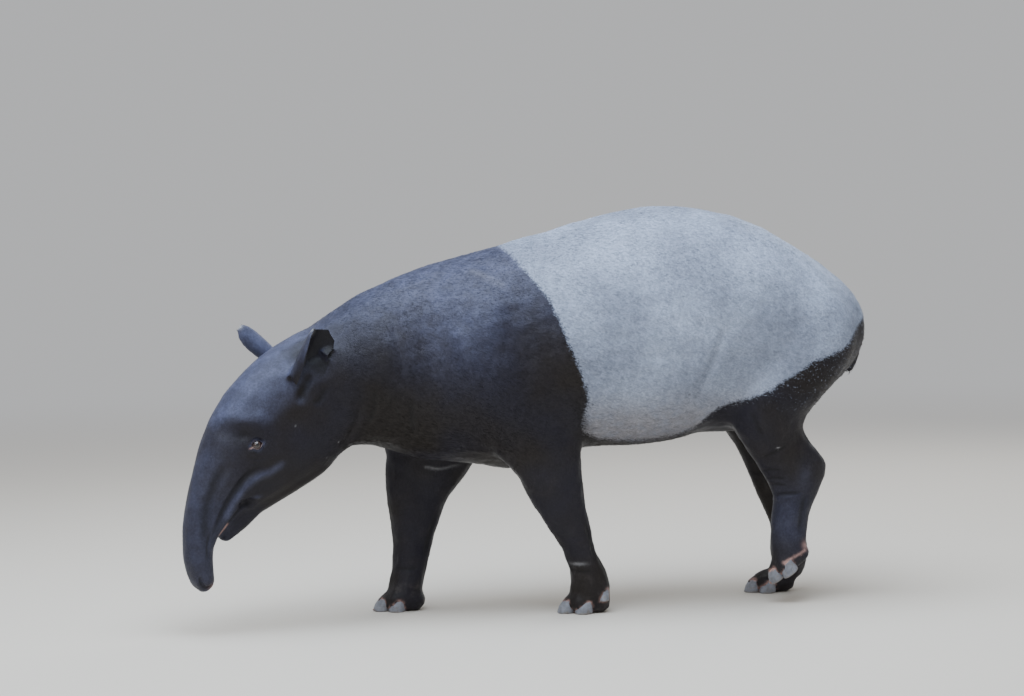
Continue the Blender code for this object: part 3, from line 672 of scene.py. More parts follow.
def shape_eye(points, side):
    """Wrap the lids over the eyeball, and sink the skin behind it inside the opening."""
    p, turn = straight(points)
    u, v, w, radius, inside = eye_measures(p, side)
    ball = np.sqrt(np.maximum((EYE_RADIUS + LID_THICKNESS) ** 2 - radius**2, 0.0))
    height = toward(w, np.maximum(ball, LID_FLOOR), rise(0.0215, 0.0125, radius))
    # fold above the upper lid, swelling and crease of the lower lid, tear corner
    below = rise(0.0, -0.004, v)
    height += 0.0016 * bell(inside + 0.0020, 0.0016)
    height -= 0.0016 * bell(inside + 0.0062, 0.0018) * (v > -0.002)
    height += 0.0018 * bell(inside + 0.0055, 0.0028) * below
    height -= 0.0012 * bell(inside + 0.0105, 0.0020) * below
    height -= 0.0022 * tear_corner(u, v, 0.004)
    behind = np.sqrt(np.maximum(EYE_RADIUS**2 - radius**2, 0.0)) - 0.0040
    height = toward(height, np.minimum(behind, height), rise(-0.0001, 0.0007, inside))
    near = (radius < 0.032) & (w > -0.006)
    move = np.where(near, height - w, 0.0)
    out = np.tile(eye_frame(side)[3], (len(points), 1))
    return points + to_world_direction(out, turn) * move[:, None]


def sculpt(skin):
    """Press the strokes, dimples and lids into the skin. Returns where the grooves are."""
    mesh = skin.data
    normals = mesh_normals(mesh)
    p, turn = straight(mesh_points(mesh))
    n = to_straight_direction(normals, turn)
    facing_side = rise(0.10, 0.55, np.abs(n[:, 1]))
    height = np.zeros(len(p))
    groove = np.zeros(len(p))
    for line, width, depth, side in STROKES:
        value = stroke_values(p, facing_side, line, width / MM_PER_M, side)
        height += value * depth / MM_PER_M
        if depth < GROOVE_DEPTH and width < GROOVE_WIDTH:
            groove = np.maximum(groove, value)
    for (f, s, z), reach, depth in DIMPLES:
        for side in SIDES:
            height += depth / MM_PER_M * spot(p, (f, side * s, z), reach)
    height += nose_rings(p, n) + nostrils(p)
    height += body_unevenness(p)
    points = mesh_points(mesh) + normals * height[:, None]
    for side in SIDES:
        points = shape_eye(points, side)
    set_points(mesh, points)
    return groove


def sink_under_coat(skin):
    """Lower the skin by the coat's depth, less on head and feet."""
    mesh = skin.data
    p, _ = straight(mesh_points(mesh))
    depth = COAT_DEPTH * (1.0 - 0.6 * rise(0.50, 0.62, p[:, 0]))
    depth = depth * (1.0 - 0.6 * rise(0.16, 0.08, p[:, 2])) + OVERLAP
    set_points(mesh, mesh_points(mesh) - mesh_normals(mesh) * depth[:, None])


FOOT_HEIGHT = 0.19
NAIL_SINK = 0.0068
NAIL_SWELLING = 0.0008
NAIL_FLOOR = 0.0012


def surface_gap(names, points, chosen):
    """Distance of the chosen points to the named nodes' surfaces, and 1 m for the others."""
    corners, faces = joined(names, 0.0)
    tree = BVHTree.FromPolygons(corners.tolist(), faces.tolist())
    gap = np.ones(len(points))
    for i in chosen:
        gap[i] = tree.find_nearest(Vector(points[i]))[3]
    return gap


def sink_under_hooves(skin):
    """Draw the skin in under the hooves. Returns how near each vertex is to a hoof's edge."""
    mesh = skin.data
    points = mesh_points(mesh)
    low = np.nonzero(points[:, 2] < FOOT_HEIGHT)[0]
    to_hoof = surface_gap(HOOVES, points, low)
    to_flesh = surface_gap([name for name in FLESH if name.endswith("_foot")], points, low)
    inside = rise(-0.0002, 0.0022, to_flesh - to_hoof) * (to_hoof < 0.006)
    edge = bell(np.maximum(to_hoof - 0.0005, 0.0), 0.0045) * (1.0 - inside)
    move = NAIL_SWELLING * edge - NAIL_SINK * inside
    points = points + mesh_normals(mesh) * move[:, None]
    floor = np.where(inside > 0.3, NAIL_FLOOR, SKIN_FLOOR)
    points[:, 2] = np.maximum(points[:, 2], floor)
    set_points(mesh, points)
    line = bell(np.maximum(to_hoof - 0.0008, 0.0), 0.0024)
    line = line * rise(-0.7, 0.5, ripple(straight(points)[0], 0.020, 11))
    return np.clip(line * (1.0 - inside), 0.0, 1.0) + inside


# Markings, painted sheen and painted shade

FRONT_BORDER = ((42, 983), (9, 933), (-13, 899), (-36, 865), (-56, 833), (-68, 801),
                (-81, 767), (-91, 728), (-106, 696), (-119, 662), (-131, 628), (-144, 596),
                (-146, 557), (-140, 518), (-145, 486), (-187, 464))
BELLY_BORDER = ((-250, 456), (-330, 452), (-410, 462), (-460, 485))
REAR_BORDER = ((-491, 518), (-514, 538), (-555, 550), (-596, 561), (-638, 579), (-679, 604),
               (-721, 629), (-763, 654), (-805, 666), (-847, 680), (-875, 698), (-895, 724))
OUTSIDE = ((-930, 752), (-1020, 775), (-1020, 1250), (150, 1250), (92, 1030))


def saddle_distance(p):
    """Metres inside the pale saddle's border, negative outside it."""
    border = np.array(FRONT_BORDER + BELLY_BORDER + REAR_BORDER + OUTSIDE) / MM_PER_M
    far = rise(0.03, -0.03, p[:, 1])
    f = p[:, 0] + far * (0.010 * np.sin(p[:, 2] * 21.0) - 0.006)
    z = p[:, 2] + far * 0.008 * np.sin(p[:, 0] * 15.0 + 1.0)
    closed = np.concatenate([border, border[:1]])
    best, _ = line_distance(np.stack([f, z], axis=1), closed)
    inside = np.zeros(len(f), bool)
    for a, b in zip(closed, closed[1:]):
        if a[1] != b[1]:
            crosses = (a[1] > z) != (b[1] > z)
            at = a[0] + (z - a[1]) / (b[1] - a[1]) * (b[0] - a[0])
            inside ^= crosses & (f < at)
    return np.where(inside, best, -best)


MOUTH_LINING = ((842, 236), (830, 258), (815, 283))
CORONET = ((-692, 113), (-722, 128), (-752, 143))
CHEST_CREASE = ((225, 385), (190, 378), (150, 384), (110, 388))
CREST_HIGHLIGHT = ((128, 908), (104, 899), (80, 887), (62, 876))

# Coloured lines: mask, strength, line, width, where they start and are full, on both sides or not
LINE_MARKS = (
    # Painted shade in the nostrils
    ("dark", 1.0, NOSTRIL, 3.0, (0.006, 0.014), True),
    ("white", 0.35, CHEST_CREASE, 3.5, (0.10, 0.05), True),
    # Painted highlights along the shoulder crest and its streak
    ("lift", 0.55, SHOULDER_CREST, 17.0, (0.0, 0.05), False),
    ("lift", 0.70, CREST_HIGHLIGHT, 12.0, (0.0, 0.05), False),
    ("white", 0.05, CREST_HIGHLIGHT, 10.0, (0.0, 0.05), False),
    # Painted highlight along the cheek ridge
    ("lift", 0.55, CHEEK_RIDGE, 10.0, (0.02, 0.05), True),
)
FLECKS = ((650, 110, 529), (515, 93, 479), (544, 75, 438))
SPECKS = ((-79, 215, 861), (-86, 239, 808), (-277, 220, 918), (-444, 236, 580),
          (-421, 239, 576), (-119, 100, 991), (-165, 80, 1011))

# Coloured spots: mask, strength, centre, reach
SPOT_MARKS = (
    # lips of the nostrils and the sore patch over the near hind foot
    ("pink", 0.55, (852, 26, 122), (12, 16, 10)),
    ("pink", 0.55, (852, -26, 122), (12, 16, 10)),
    ("pink", 0.60, (-757, 160, 156), (10, 30, 11)),
    # pale tips of the ears, scars of the near legs, flecks of the cheek
    ("white", 1.5, (709, -110, 786), (12, 30, 11)),
    ("white", 1.3, (603, 126, 768), (10, 20, 8)),
    ("white", 0.30, (-135, 148, 134), (20, 30, 4)),
    ("white", 0.60, (-672, 204, 424), (4, 30, 1.4)),
    *(("white", 0.42, centre, (1.6, 30, 1.6)) for centre in FLECKS),
    # painted sheen on the shoulder, lighter shank and hock, and a painted highlight on the bulge at
    # the mouth corner
    ("lift", 0.52, (200, 200, 750), (130, 250, 120)),
    ("lift", 0.36, (-711, 160, 225), (60, 70, 85)),
    ("lift", 0.25, (-750, 180, 345), (22, 60, 30)),
    ("lift", 0.45, (744, 68, 350), (12, 30, 4)),
    # specks on the saddle; painted shade in the hollows at the mouth corners and above the eyes,
    # and on the neck
    *(("dark", 0.9, centre, (3.0, 20, 2.6)) for centre in SPECKS),
    ("dark", 0.85, (770, 64, 335), (18, 30, 9)),
    ("dark", 0.85, (770, -64, 335), (18, 30, 9)),
    ("dark", 0.50, (782, 82, 514), (24, 40, 11)),
    ("dark", 0.50, (782, -82, 514), (24, 40, 11)),
    ("dark", 0.34, (400, 0, 620), (90, 350, 100)),
)
GRAIN_SLOPE = math.radians(22.0)
GRAIN_LONG = 45.0
GRAIN_ACROSS = 320.0


def add_mark(marks, mask, values):
    """Add to a mask. Dark marks don't add up: the strongest one counts."""
    if mask == "dark":
        marks[mask] = np.maximum(marks[mask], values)
    else:
        marks[mask] = marks[mask] + values


def mark_eyes(marks, p):
    """Pink and pale rims, dark openings of painted shade, and light rings of the eyes."""
    for side in SIDES:
        u, v, w, radius, inside = eye_measures(p, side)
        near = (radius < EYE_REGION) & (w > 0.0)
        lower = rise(0.002, -0.003, v)
        rim = near * bell(inside + 0.0008, 0.0012)
        add_mark(marks, "pink", rim * (0.05 + 0.55 * lower))
        add_mark(marks, "pink", 0.65 * near * tear_corner(u, v, 0.003))
        add_mark(marks, "white", 0.38 * rim * lower)
        add_mark(marks, "dark", near * rise(-0.0022, 0.0, inside) * rise(-0.001, 0.002, v))
        # Painted shade inside the opening, round the eyeball
        add_mark(marks, "dark", 0.6 * near * rise(0.0005, 0.0020, inside))
        add_mark(marks, "lift", 0.36 * near * bell(inside + 0.006, 0.004))


def mark_painted_sheen_and_ear_shade(marks, p, n):
    """Painted sheen where the black coat faces up, lighter and bluer: the back, the head's top, the
    ears' backs; painted shadow of the near ear; painted shade in the ears' hollows.
    """
    f, s, z = p.T
    # Painted sheen, lighter and bluer where the coat faces up and high on the back, on the head's
    # top and brow, partly the crown's own greyer hair; a lighter nose
    lift = 0.75 * rise(0.62, 0.92, z) * rise(0.0, 0.9, n[:, 2]) + 0.22 * rise(0.60, 0.90, z)
    brow = np.clip(rise(0.515, 0.565, z) + 0.35 * rise(0.84, 0.90, f), 0.0, 1.0)
    lift += 0.90 * rise(0.50, 0.66, f) * rise(-0.05, 0.60, n[:, 2]) * brow
    lift += 0.34 * rise(0.76, 0.88, f)
    # Painted shadow of the near ear: less sheen on the head and neck below it
    up, gap = ear_place(p, EARS[0])
    lift *= 1.0 - 0.72 * rise(0.05, 0.40, up) * rise(0.075, 0.055, gap)
    lift += ear_measure(p) * np.where(s > 0.0, 0.12, 0.75)
    add_mark(marks, "lift", lift)
    # Painted shade in the ears' hollows, where each ear's mouth faces
    for ear, strength in zip(EARS, (0.95, 0.60)):
        up, gap = ear_place(p, ear)
        cup = rise(0.10, 0.55, n @ np.array(ear[4])) * rise(0.22, 0.42, up)
        add_mark(marks, "dark", strength * cup * (up < 1.1) * (gap < ear[3]))


def markings(p, n, groove, hoof_edge):
    """Colour masks and grain of straight points p with straight normals n."""
    f, s, z = p.T
    marks = {mask: np.zeros(len(p)) for mask in ("pink", "white", "dark", "lift")}
    # Painted shade in the deep narrow grooves
    add_mark(marks, "dark", groove * 0.75)
    mark_eyes(marks, p)
    mark_painted_sheen_and_ear_shade(marks, p, n)
    for mask, strength, line, width, (start, full), both in LINE_MARKS:
        where = rise(start, full, np.abs(s) if both else s)
        add_mark(marks, mask, strength * line_mark(p, line, width) * where)
    for mask, strength, centre, reach in SPOT_MARKS:
        add_mark(marks, mask, strength * spot(p, centre, reach))
    lining = line_mark(p, MOUTH_LINING, 2.8) * (np.abs(s) > 0.012) * (np.abs(s) < 0.06)
    add_mark(marks, "pink", lining)
    add_mark(marks, "pink", np.clip(hoof_edge, 0.0, 1.0) * 0.75)
    coronet = line_mark(p, CORONET, 3.4 + 1.2 * ripple(p, 0.012, 12))
    add_mark(marks, "pink", 0.62 * coronet * rise(0.125, 0.145, s))
    marks["fleck"] = rise(-0.60, -0.72, f) * rise(0.50, 0.58, z) * rise(0.80, 0.70, z)
    marks["dust"] = rise(0.14, 0.02, z) * 0.6 + 0.12 * leg_measure(p)
    wrinkle = 0.25 + 0.6 * nose_measure(p) + 0.5 * spot(p, (750, 100, 480), (50, 100, 50))
    marks["wrinkle"] = wrinkle + 0.4 * rise(0.40, 0.48, f) * rise(0.56, 0.48, f)
    marks["upright"] = leg_measure(p) + 0.8 * rise(0.50, 0.62, f)
    marks = {mask: np.clip(values, 0.0, 1.0) for mask, values in marks.items()}
    marks["saddle"] = saddle_distance(p)
    # Painted shade: the saddle darker towards the belly
    marks["belly"] = rise(0.66, 0.47, z) * 0.9
    along = f * math.cos(GRAIN_SLOPE) + z * math.sin(GRAIN_SLOPE)
    across = -f * math.sin(GRAIN_SLOPE) + z * math.cos(GRAIN_SLOPE)
    marks["grain_body"] = np.stack([along * GRAIN_LONG, s * GRAIN_ACROSS,
                                    across * GRAIN_ACROSS], axis=1)
    marks["grain_leg"] = p * (GRAIN_ACROSS, GRAIN_ACROSS, GRAIN_LONG)
    return marks


# Materials

BLACK = (0.0135, 0.0122, 0.0192)
BLACK_BROWN = (0.0150, 0.0115, 0.0100)
DEEP = (0.006, 0.0055, 0.006)
SHEEN_BLUE_GREY = (0.082, 0.091, 0.158)
PALE = (0.365, 0.428, 0.565)
PALE_WARM_AND_SHADE = (0.245, 0.238, 0.258)
PALE_SHADE = (0.228, 0.262, 0.348)
PINK = (0.43, 0.262, 0.228)
WHITE = (0.62, 0.62, 0.64)
DUST = (0.060, 0.052, 0.050)
HORN = (0.150, 0.160, 0.186)
HORN_LIGHT = (0.240, 0.247, 0.282)
HORN_RING = (0.39, 0.38, 0.40)
HORN_STAIN = (0.185, 0.155, 0.125)
HORN_PINK = (0.52, 0.300, 0.240)
HORN_SOIL = (0.22, 0.185, 0.155)
PUPIL = (0.004, 0.003, 0.003)
IRIS_DARK = (0.020, 0.009, 0.007)
IRIS = (0.042, 0.018, 0.013)
IRIS_EDGE = (0.022, 0.010, 0.008)
EYE_CORNER = (0.055, 0.034, 0.032)


class Graph:
    """A new material, and short ways to add nodes to it."""

    def __init__(self, name):
        self.material = bpy.data.materials.new(name)
        self.material.use_nodes = True
        self.tree = self.material.node_tree

    def link(self, value, socket):
        """Connect a socket, or set a number or colour."""
        if isinstance(value, bpy.types.NodeSocket):
            self.tree.links.new(value, socket)
        elif isinstance(value, tuple):
            socket.default_value = (*value, 1.0)
        else:
            socket.default_value = value

    def node(self, kind, inputs, **settings):
        """Add a node, link or set its inputs, and return its outputs."""
        node = self.tree.nodes.new("ShaderNode" + kind)
        for key, value in settings.items():
            setattr(node, key, value)
        for key, value in inputs.items():
            self.link(value, node.inputs[key])
        return node.outputs

    def surface(self, inputs):
        """Link or set inputs of the material's shader."""
        shader = self.tree.nodes["Principled BSDF"]
        for key, value in inputs.items():
            self.link(value, shader.inputs[key])

    def attribute(self, name, output="Fac"):
        """Read an attribute, as one number or as a Vector."""
        return self.node("Attribute", {}, attribute_name=name)[output]

    def place(self):
        """Object coordinates."""
        return self.node("TexCoord", {})["Object"]

    def math(self, operation, a, b=0.0, c=0.0):
        """A Math node."""
        return self.node("Math", {0: a, 1: b, 2: c}, operation=operation)[0]

    def times(self, a, b):
        """A product."""
        return self.math("MULTIPLY", a, b)

    def uneven(self, value, noise, amount):
        """A value moved up and down by a noise, by up to half the amount."""
        return self.math("MULTIPLY_ADD", self.math("SUBTRACT", noise, 0.5), amount, value)

    def noise(self, vector, scale, detail=3.0, roughness=0.6):
        """A Noise texture's value."""
        return self.node("TexNoise", {"Vector": vector, "Scale": scale, "Detail": detail,
                                      "Roughness": roughness})["Fac"]

    def grain(self, name):
        """A noise stretched by a vector attribute."""
        return self.noise(self.attribute(name, "Vector"), 1.0)

    def span(self, value, low, high, out_low=0.0, out_high=1.0):
        """A clamped smooth Map Range."""
        return self.node("MapRange", {"Value": value, "From Min": low, "From Max": high,
                                      "To Min": out_low, "To Max": out_high},
                         interpolation_type="SMOOTHSTEP")["Result"]

    def mix(self, factor, a, b, blend="MIX"):
        """A colour Mix node."""
        return self.node("Mix", {0: factor, 6: a, 7: b}, data_type="RGBA", blend_type=blend)[2]

    def bump(self, height, distance, strength, below=None):
        """A Bump node's normal, over the one below it."""
        inputs = {"Height": height, "Distance": distance, "Strength": strength}
        if below is not None:
            inputs["Normal"] = below
        return self.node("Bump", inputs)["Normal"]


def hide_material(name, hairs):
    """Skin, or coat tufts, with the animal's markings, painted sheen and painted shade."""
    g = Graph(name)
    at = g.place()
    upright = g.attribute("upright")
    grain = g.math("ADD", g.times(g.grain("grain_body"), g.math("SUBTRACT", 1.0, upright)),
                   g.times(g.grain("grain_leg"), upright))
    broad = g.noise(at, 5.0, 2.0, 0.5)
    patch = g.noise(at, 26.0)
    fine = g.noise(at, 170.0, 2.0)
    own = g.attribute("own") if hairs else fine

    # Saddle border, broken up by locks and single hairs
    ragged = g.uneven(g.attribute("saddle"), grain, 0.014)
    ragged = g.uneven(g.uneven(ragged, patch, 0.010), own, 0.018)
    pale_share = g.span(ragged, -0.0060, 0.0060)

    black = g.mix(g.span(broad, 0.35, 0.70), BLACK, BLACK_BROWN)
    # Painted sheen and highlights: the lift mask turns the black coat blue-grey
    painted_sheen = g.times(g.attribute("lift"), g.span(patch, 0.25, 0.75, 0.5, 1.0))
    black = g.mix(painted_sheen, black, SHEEN_BLUE_GREY)
    black = g.mix(g.times(g.attribute("dust"), g.span(patch, 0.45, 0.75)), black, DUST)
    flecks = g.times(g.attribute("fleck"), g.span(fine, 0.60, 0.72, 0.0, 0.55))
    black = g.mix(flecks, black, PALE_SHADE)

    pale = g.mix(g.span(broad, 0.30, 0.70), PALE, PALE_SHADE)
    # Painted shade, darker towards the belly
    pale = g.mix(g.span(g.attribute("belly"), 0.0, 1.0), pale, PALE_WARM_AND_SHADE)
    pale = g.mix(g.span(patch, 0.40, 0.75, 0.0, 0.45), pale, PALE_SHADE)
    pale = g.mix(g.span(grain, 0.55, 0.80, 0.0, 0.35), pale, PALE_WARM_AND_SHADE)

    colour = g.mix(pale_share, black, pale)
    white = g.times(g.attribute("white"), g.span(patch, 0.2, 0.6, 0.6, 1.0))
    colour = g.mix(white, colour, WHITE)
    colour = g.mix(g.attribute("pink"), colour, PINK)
    # Dark mask: painted shade in grooves, hollows, nostrils, eye openings, ear hollows and on the
    # neck; also the saddle's dark specks
    colour = g.mix(g.times(g.attribute("dark"), 0.8), colour, DEEP)
    colour = g.mix(1.0, colour, g.span(own, 0.2, 0.8, 0.80, 1.20), "MULTIPLY")
    rough = g.math("MULTIPLY_ADD", grain, 0.16, g.math("MULTIPLY_ADD", pale_share, 0.16, 0.40))
    g.surface({"Base Color": colour, "Roughness": rough, "Specular IOR Level": 0.21,
               "Sheen Weight": 0.02, "Sheen Roughness": 0.45})
    if not hairs:
        folds = g.node("TexVoronoi", {"Vector": at, "Scale": 150.0},
                       feature="DISTANCE_TO_EDGE")["Distance"]
        folds = g.times(g.span(folds, 0.0, 0.10), g.attribute("wrinkle"))
        height = g.math("MULTIPLY_ADD", folds, 0.55, g.times(grain, 0.9))
        height = g.math("MULTIPLY_ADD", fine, 0.30, height)
        g.surface({"Normal": g.bump(height, 0.0014, 0.55, g.bump(patch, 0.010, 0.12))})
    return g.material


def horn_material():
    """Worn grey hooves, pink towards the hair, with growth rings and dust."""
    g = Graph("hoof_horn")
    at = g.place()
    patch = g.noise(at, 60.0)
    rings = g.grain("streak")
    colour = g.mix(g.span(patch, 0.3, 0.7), HORN, HORN_LIGHT)
    colour = g.mix(g.span(rings, 0.50, 0.75, 0.0, 0.50), colour, HORN_RING)
    colour = g.mix(g.span(g.noise(at, 95.0), 0.52, 0.72, 0.0, 0.55), colour, HORN_STAIN)
    ragged = g.uneven(g.attribute("height"), patch, 0.5)
    colour = g.mix(g.span(ragged, 0.84, 0.96), colour, HORN_PINK)
    colour = g.mix(g.span(ragged, 0.16, 0.00, 0.0, 0.65), colour, HORN_SOIL)
    g.surface({"Base Color": colour, "Roughness": g.span(rings, 0.2, 0.8, 0.34, 0.62),
               "Normal": g.bump(rings, 0.0016, 0.6, g.bump(patch, 0.002, 0.3))})
    return g.material


def eye_material():
    """A dark red-brown iris with a soft pupil and a brown edge, under a wet surface."""
    g = Graph("eye_wet")
    angle = g.attribute("gaze")
    wide = g.uneven(angle, g.grain("iris"), 0.05)
    colour = g.mix(g.span(wide, 0.20, 0.27), PUPIL, IRIS_DARK)
    colour = g.mix(g.span(wide, 0.30, 0.52), colour, IRIS)
    colour = g.mix(g.span(wide, 0.56, 0.64), colour, IRIS_EDGE)
    colour = g.mix(g.span(angle, 0.78, 0.90), colour, EYE_CORNER)
    g.surface({"Base Color": colour, "Roughness": 0.12, "Specular IOR Level": 0.5,
               "Coat Weight": 0.6, "Coat Roughness": 0.03})
    return g.material


# Eyes

EYE_RINGS = 40
EYE_SIDES = 64
CORNEA_BULGE = 0.0009
CORNEA_EDGE = 0.62
EYE_CLEARANCE = 0.0002
IRIS_SCALE = (9.0, 9.0, 1.5)


def build_eye(side, surface):
    """An eyeball with a raised cornea, turned to look outward."""
    name = "eye_left" if side > 0 else "eye_right"
    centre, ahead, up, out = eye_frame(side)
    theta = np.linspace(0.0, math.pi, EYE_RINGS)[1:-1]
    phi = np.linspace(0.0, 2.0 * math.pi, EYE_SIDES, endpoint=False)
    t, a = (np.append(grid, ends) for grid, ends in
            zip(np.meshgrid(theta, phi, indexing="ij"), ((0.0, math.pi), (0.0, 0.0))))
    radius = EYE_RADIUS - EYE_CLEARANCE + CORNEA_BULGE * rise(CORNEA_EDGE, 0.0, t)
    radius[-1] = EYE_RADIUS
    local = np.stack([np.sin(t) * np.cos(a), np.sin(t) * np.sin(a), np.cos(t)], axis=1)
    p = centre + radius[:, None] * local @ np.stack([ahead, up, out])
    mesh = triangle_mesh(name + "_ball", world(*p.T), tube_faces(len(theta), EYE_SIDES))
    put_values(mesh, "gaze", t)
    put_values(mesh, "iris", np.stack([np.cos(a), np.sin(a), t], axis=1) * IRIS_SCALE)
    ball = new_object(name + "_ball", mesh)
    finish_piece(ball, surface, [name])
    outward(ball)


# Hooves: the solids' nails with more levels, growth rings and worn lower edges

BALL_BEHIND = 0.020
BALL_HEIGHT = 0.075
HOOF_HEIGHT = 0.036
HOOF_SIDES = 48
HOOF_PROUD = 0.0003
HOOF_ROUNDNESS = 0.85
STREAK_SCALE = 9.0
# Growth rings and upright ridges, then the rounded and chipped lower edge
RING_SWELL = 0.00035
RING_RATE = 31.0
RIDGE_SWELL = 0.00018
RIDGES = 17
EDGE_ROUNDING = 0.0011
CHIP_DEPTH = 0.0009
# Each toe: digit, tip ahead, place aside, turn in degrees, width, height of its sole
FORE_TOES = ((2, 0.040, -0.041, -24.0, 0.042, 0.0), (3, 0.078, 0.000, 0.0, 0.052, 0.0),
             (4, 0.036, 0.043, 24.0, 0.046, 0.0), (5, -0.036, 0.057, 80.0, 0.030, 0.032))
HIND_TOES = ((2, 0.044, -0.043, -22.0, 0.042, 0.0), (3, 0.078, 0.000, 0.0, 0.052, 0.0),
             (4, 0.044, 0.043, 22.0, 0.042, 0.0))
# Each foot: name, f, s, side, toes, lift of the heel and how far it tips forward
FEET = (
    ("fore_left", -0.164, 0.100, 1, FORE_TOES, 0.0, 0.0),
    ("fore_right", 0.296, -0.105, -1, FORE_TOES, 0.0, 0.0),
    ("hind_left", -0.686, 0.125, 1, HIND_TOES, 0.093, math.radians(35.0)),
    ("hind_right", -0.739, -0.100, -1, HIND_TOES, 0.0, 0.0),
)
# Share of the hoof's height, half its length, share of its width, middle
HOOF_LEVELS = (
    (0.00, 0.0235, 1.00, -0.0240),
    (0.50, 0.0205, 1.00, -0.0275),
    (0.88, 0.0145, 0.86, -0.0320),
    (1.00, 0.0080, 0.55, -0.0340),
)


def build_hoof(foot, toe, surface):
    """One hoof in place of its solid."""
    name, f, s, sign, _, lift, drop = foot
    digit, tip, side, turn, width, sole = toe
    node = f"hoof_{name}_{digit}"
    turn = math.radians(turn)
    levels = np.concatenate([np.linspace(0.0, 0.88, 16), np.linspace(0.90, 1.0, 5)])
    rows = np.array(HOOF_LEVELS).T
    depths, shares, middles = (np.interp(levels, rows[0], row) for row in rows[1:])
    angle = np.linspace(0.0, 2.0 * math.pi, HOOF_SIDES, endpoint=False)
    across = np.sign(np.sin(angle)) * np.abs(np.sin(angle)) ** HOOF_ROUNDNESS
    own = np.random.default_rng(100 + HOOVES.index(node))
    chips = np.abs(np.sin(angle * own.integers(4, 8) + own.uniform(0.0, 6.0))) ** 6
    points = []
    streaks = []
    for level, depth, share, middle in zip(levels, depths, shares, middles):
        swell = RING_SWELL * math.sin(level * RING_RATE) * rise(0.02, 0.12, level)
        swell += HOOF_PROUD - EDGE_ROUNDING * rise(0.10, 0.0, level)
        swell = swell + RIDGE_SWELL * np.sin(angle * RIDGES + own.uniform(0.0, 0.3))
        swell -= CHIP_DEPTH * chips * rise(0.14, 0.0, level)
        ahead = middle + (depth + swell) * np.cos(angle)
        out = (width / 2.0 * share + swell) * across
        x = -(tip + ahead * math.cos(turn) - out * math.sin(turn))
        y = -sign * (side + ahead * math.sin(turn) + out * math.cos(turn))
        points.append(np.stack([x, y, np.full(HOOF_SIDES, sole + level * HOOF_HEIGHT)], axis=1))
        along = np.full(HOOF_SIDES, level * 5.0 + own.uniform(0.0, 50.0))
        around = np.stack([np.cos(angle), np.sin(angle)]) * STREAK_SCALE
        streaks.append(np.stack([*around, along], axis=1))
    local = np.concatenate(points + [[points[0].mean(0), points[-1].mean(0)]])
    ball = Matrix.Translation((BALL_BEHIND, 0.0, BALL_HEIGHT))
    matrix = np.array(Matrix.Translation(Vector((-f, -s, lift)) + Vector(SHIFT))
                      @ ball @ Matrix.Rotation(-drop, 4, "Y") @ ball.inverted())
    placed = local @ matrix[:3, :3].T + matrix[:3, 3]
    if not drop:
        placed[:, 2] = np.maximum(placed[:, 2], 0.0)
    mesh = triangle_mesh(f"nail_{name}_{digit}", placed, tube_faces(len(levels), HOOF_SIDES))
    put_values(mesh, "height", np.concatenate([np.repeat(levels, HOOF_SIDES), (0.0, 1.0)]))
    put_values(mesh, "streak", np.concatenate(streaks + [np.zeros((2, 3))]))
    nail = new_object(mesh.name, mesh)
    finish_piece(nail, surface, [node])
    outward(nail)


# Unwrap of the skin's own shape: one flat chart for each side of each part

CHART_MARGIN = 0.006
CHART_SHRINK = 0.98


def part_of(p):
    """Which part of the animal each straight point belongs to."""
    f, s, z = p.T
    near = s > 0.0
    fore = (z < 0.45) & (f > -0.35) & (f < 0.50)
    hind = (z < 0.52) & (f < -0.45)
    ears = ear_measure(p) > 0.5
    part = np.zeros(len(p), dtype=int)
    regions = (f > 0.50, fore & near, fore & ~near, hind & near, hind & ~near, ears & near,
               ears & ~near, on_tail(p, -0.91, 0.035, 0.69))
    for number, region in enumerate(regions, start=1):
        part[region] = number
    return part


class Atlas:
    """Places the charts of the skin side by side in the unit square."""

    def __init__(self, p, n):
        chart = self.chart(p, n)
        self.low = {}
        sizes = []
        for key in np.unique(chart).tolist():
            places = self.flat(p[chart == key], key)
            self.low[key] = places.min(0)
            sizes.append((*(places.max(0) - self.low[key]), key))
        sizes.sort(key=lambda row: -row[1])
        self.scale = 1.0
        while not self.pack(sizes):
            self.scale *= CHART_SHRINK

    def chart(self, p, n):
        """Chart number from part and facing side."""
        axis = np.argmax(np.abs(n), axis=1)
        sign = n[np.arange(len(n)), axis] > 0.0
        return part_of(p) * 6 + axis * 2 + sign

    def flat(self, p, key):
        """Coordinates across a chart's facing axis."""
        return np.delete(p, key % 6 // 2, axis=1)

    def pack(self, sizes):
        """Shelf packing. False when the square is full."""
        self.corner = {}
        x = y = CHART_MARGIN
        shelf = 0.0
        for wide, tall, key in sizes:
            wide, tall = wide * self.scale, tall * self.scale
            if x + wide + CHART_MARGIN > 1.0:
                x = CHART_MARGIN
                y += shelf + CHART_MARGIN
                shelf = 0.0
            if max(x + wide, y + tall) + CHART_MARGIN > 1.0:
                return False
            self.corner[key] = np.array([x, y])
            x += wide + CHART_MARGIN
            shelf = max(shelf, tall)
        return True

    def place(self, p, chart):
        """Places in the square of points that are given their chart."""
        uv = np.zeros((len(p), 2))
        for key, corner in self.corner.items():
            own = chart == key
            uv[own] = corner + (self.flat(p[own], key) - self.low[key]) * self.scale
        return np.clip(uv, 0.0, 1.0)


def unwrap_skin(skin, p):
    """Give the skin its flat map, and return the atlas."""
    faces = skin.data.polygons
    middle, turn = straight(read(faces, "center", 3))
    facing = to_straight_direction(read(faces, "normal", 3), turn)
    atlas = Atlas(middle, facing)
    totals = read(faces, "loop_total", 1, np.int64).ravel()
    corners = read(skin.data.loops, "vertex_index", 1, np.int64).ravel()
    put_map(skin.data, atlas.place(p[corners], np.repeat(atlas.chart(middle, facing), totals)))
    return atlas


# Coat tufts

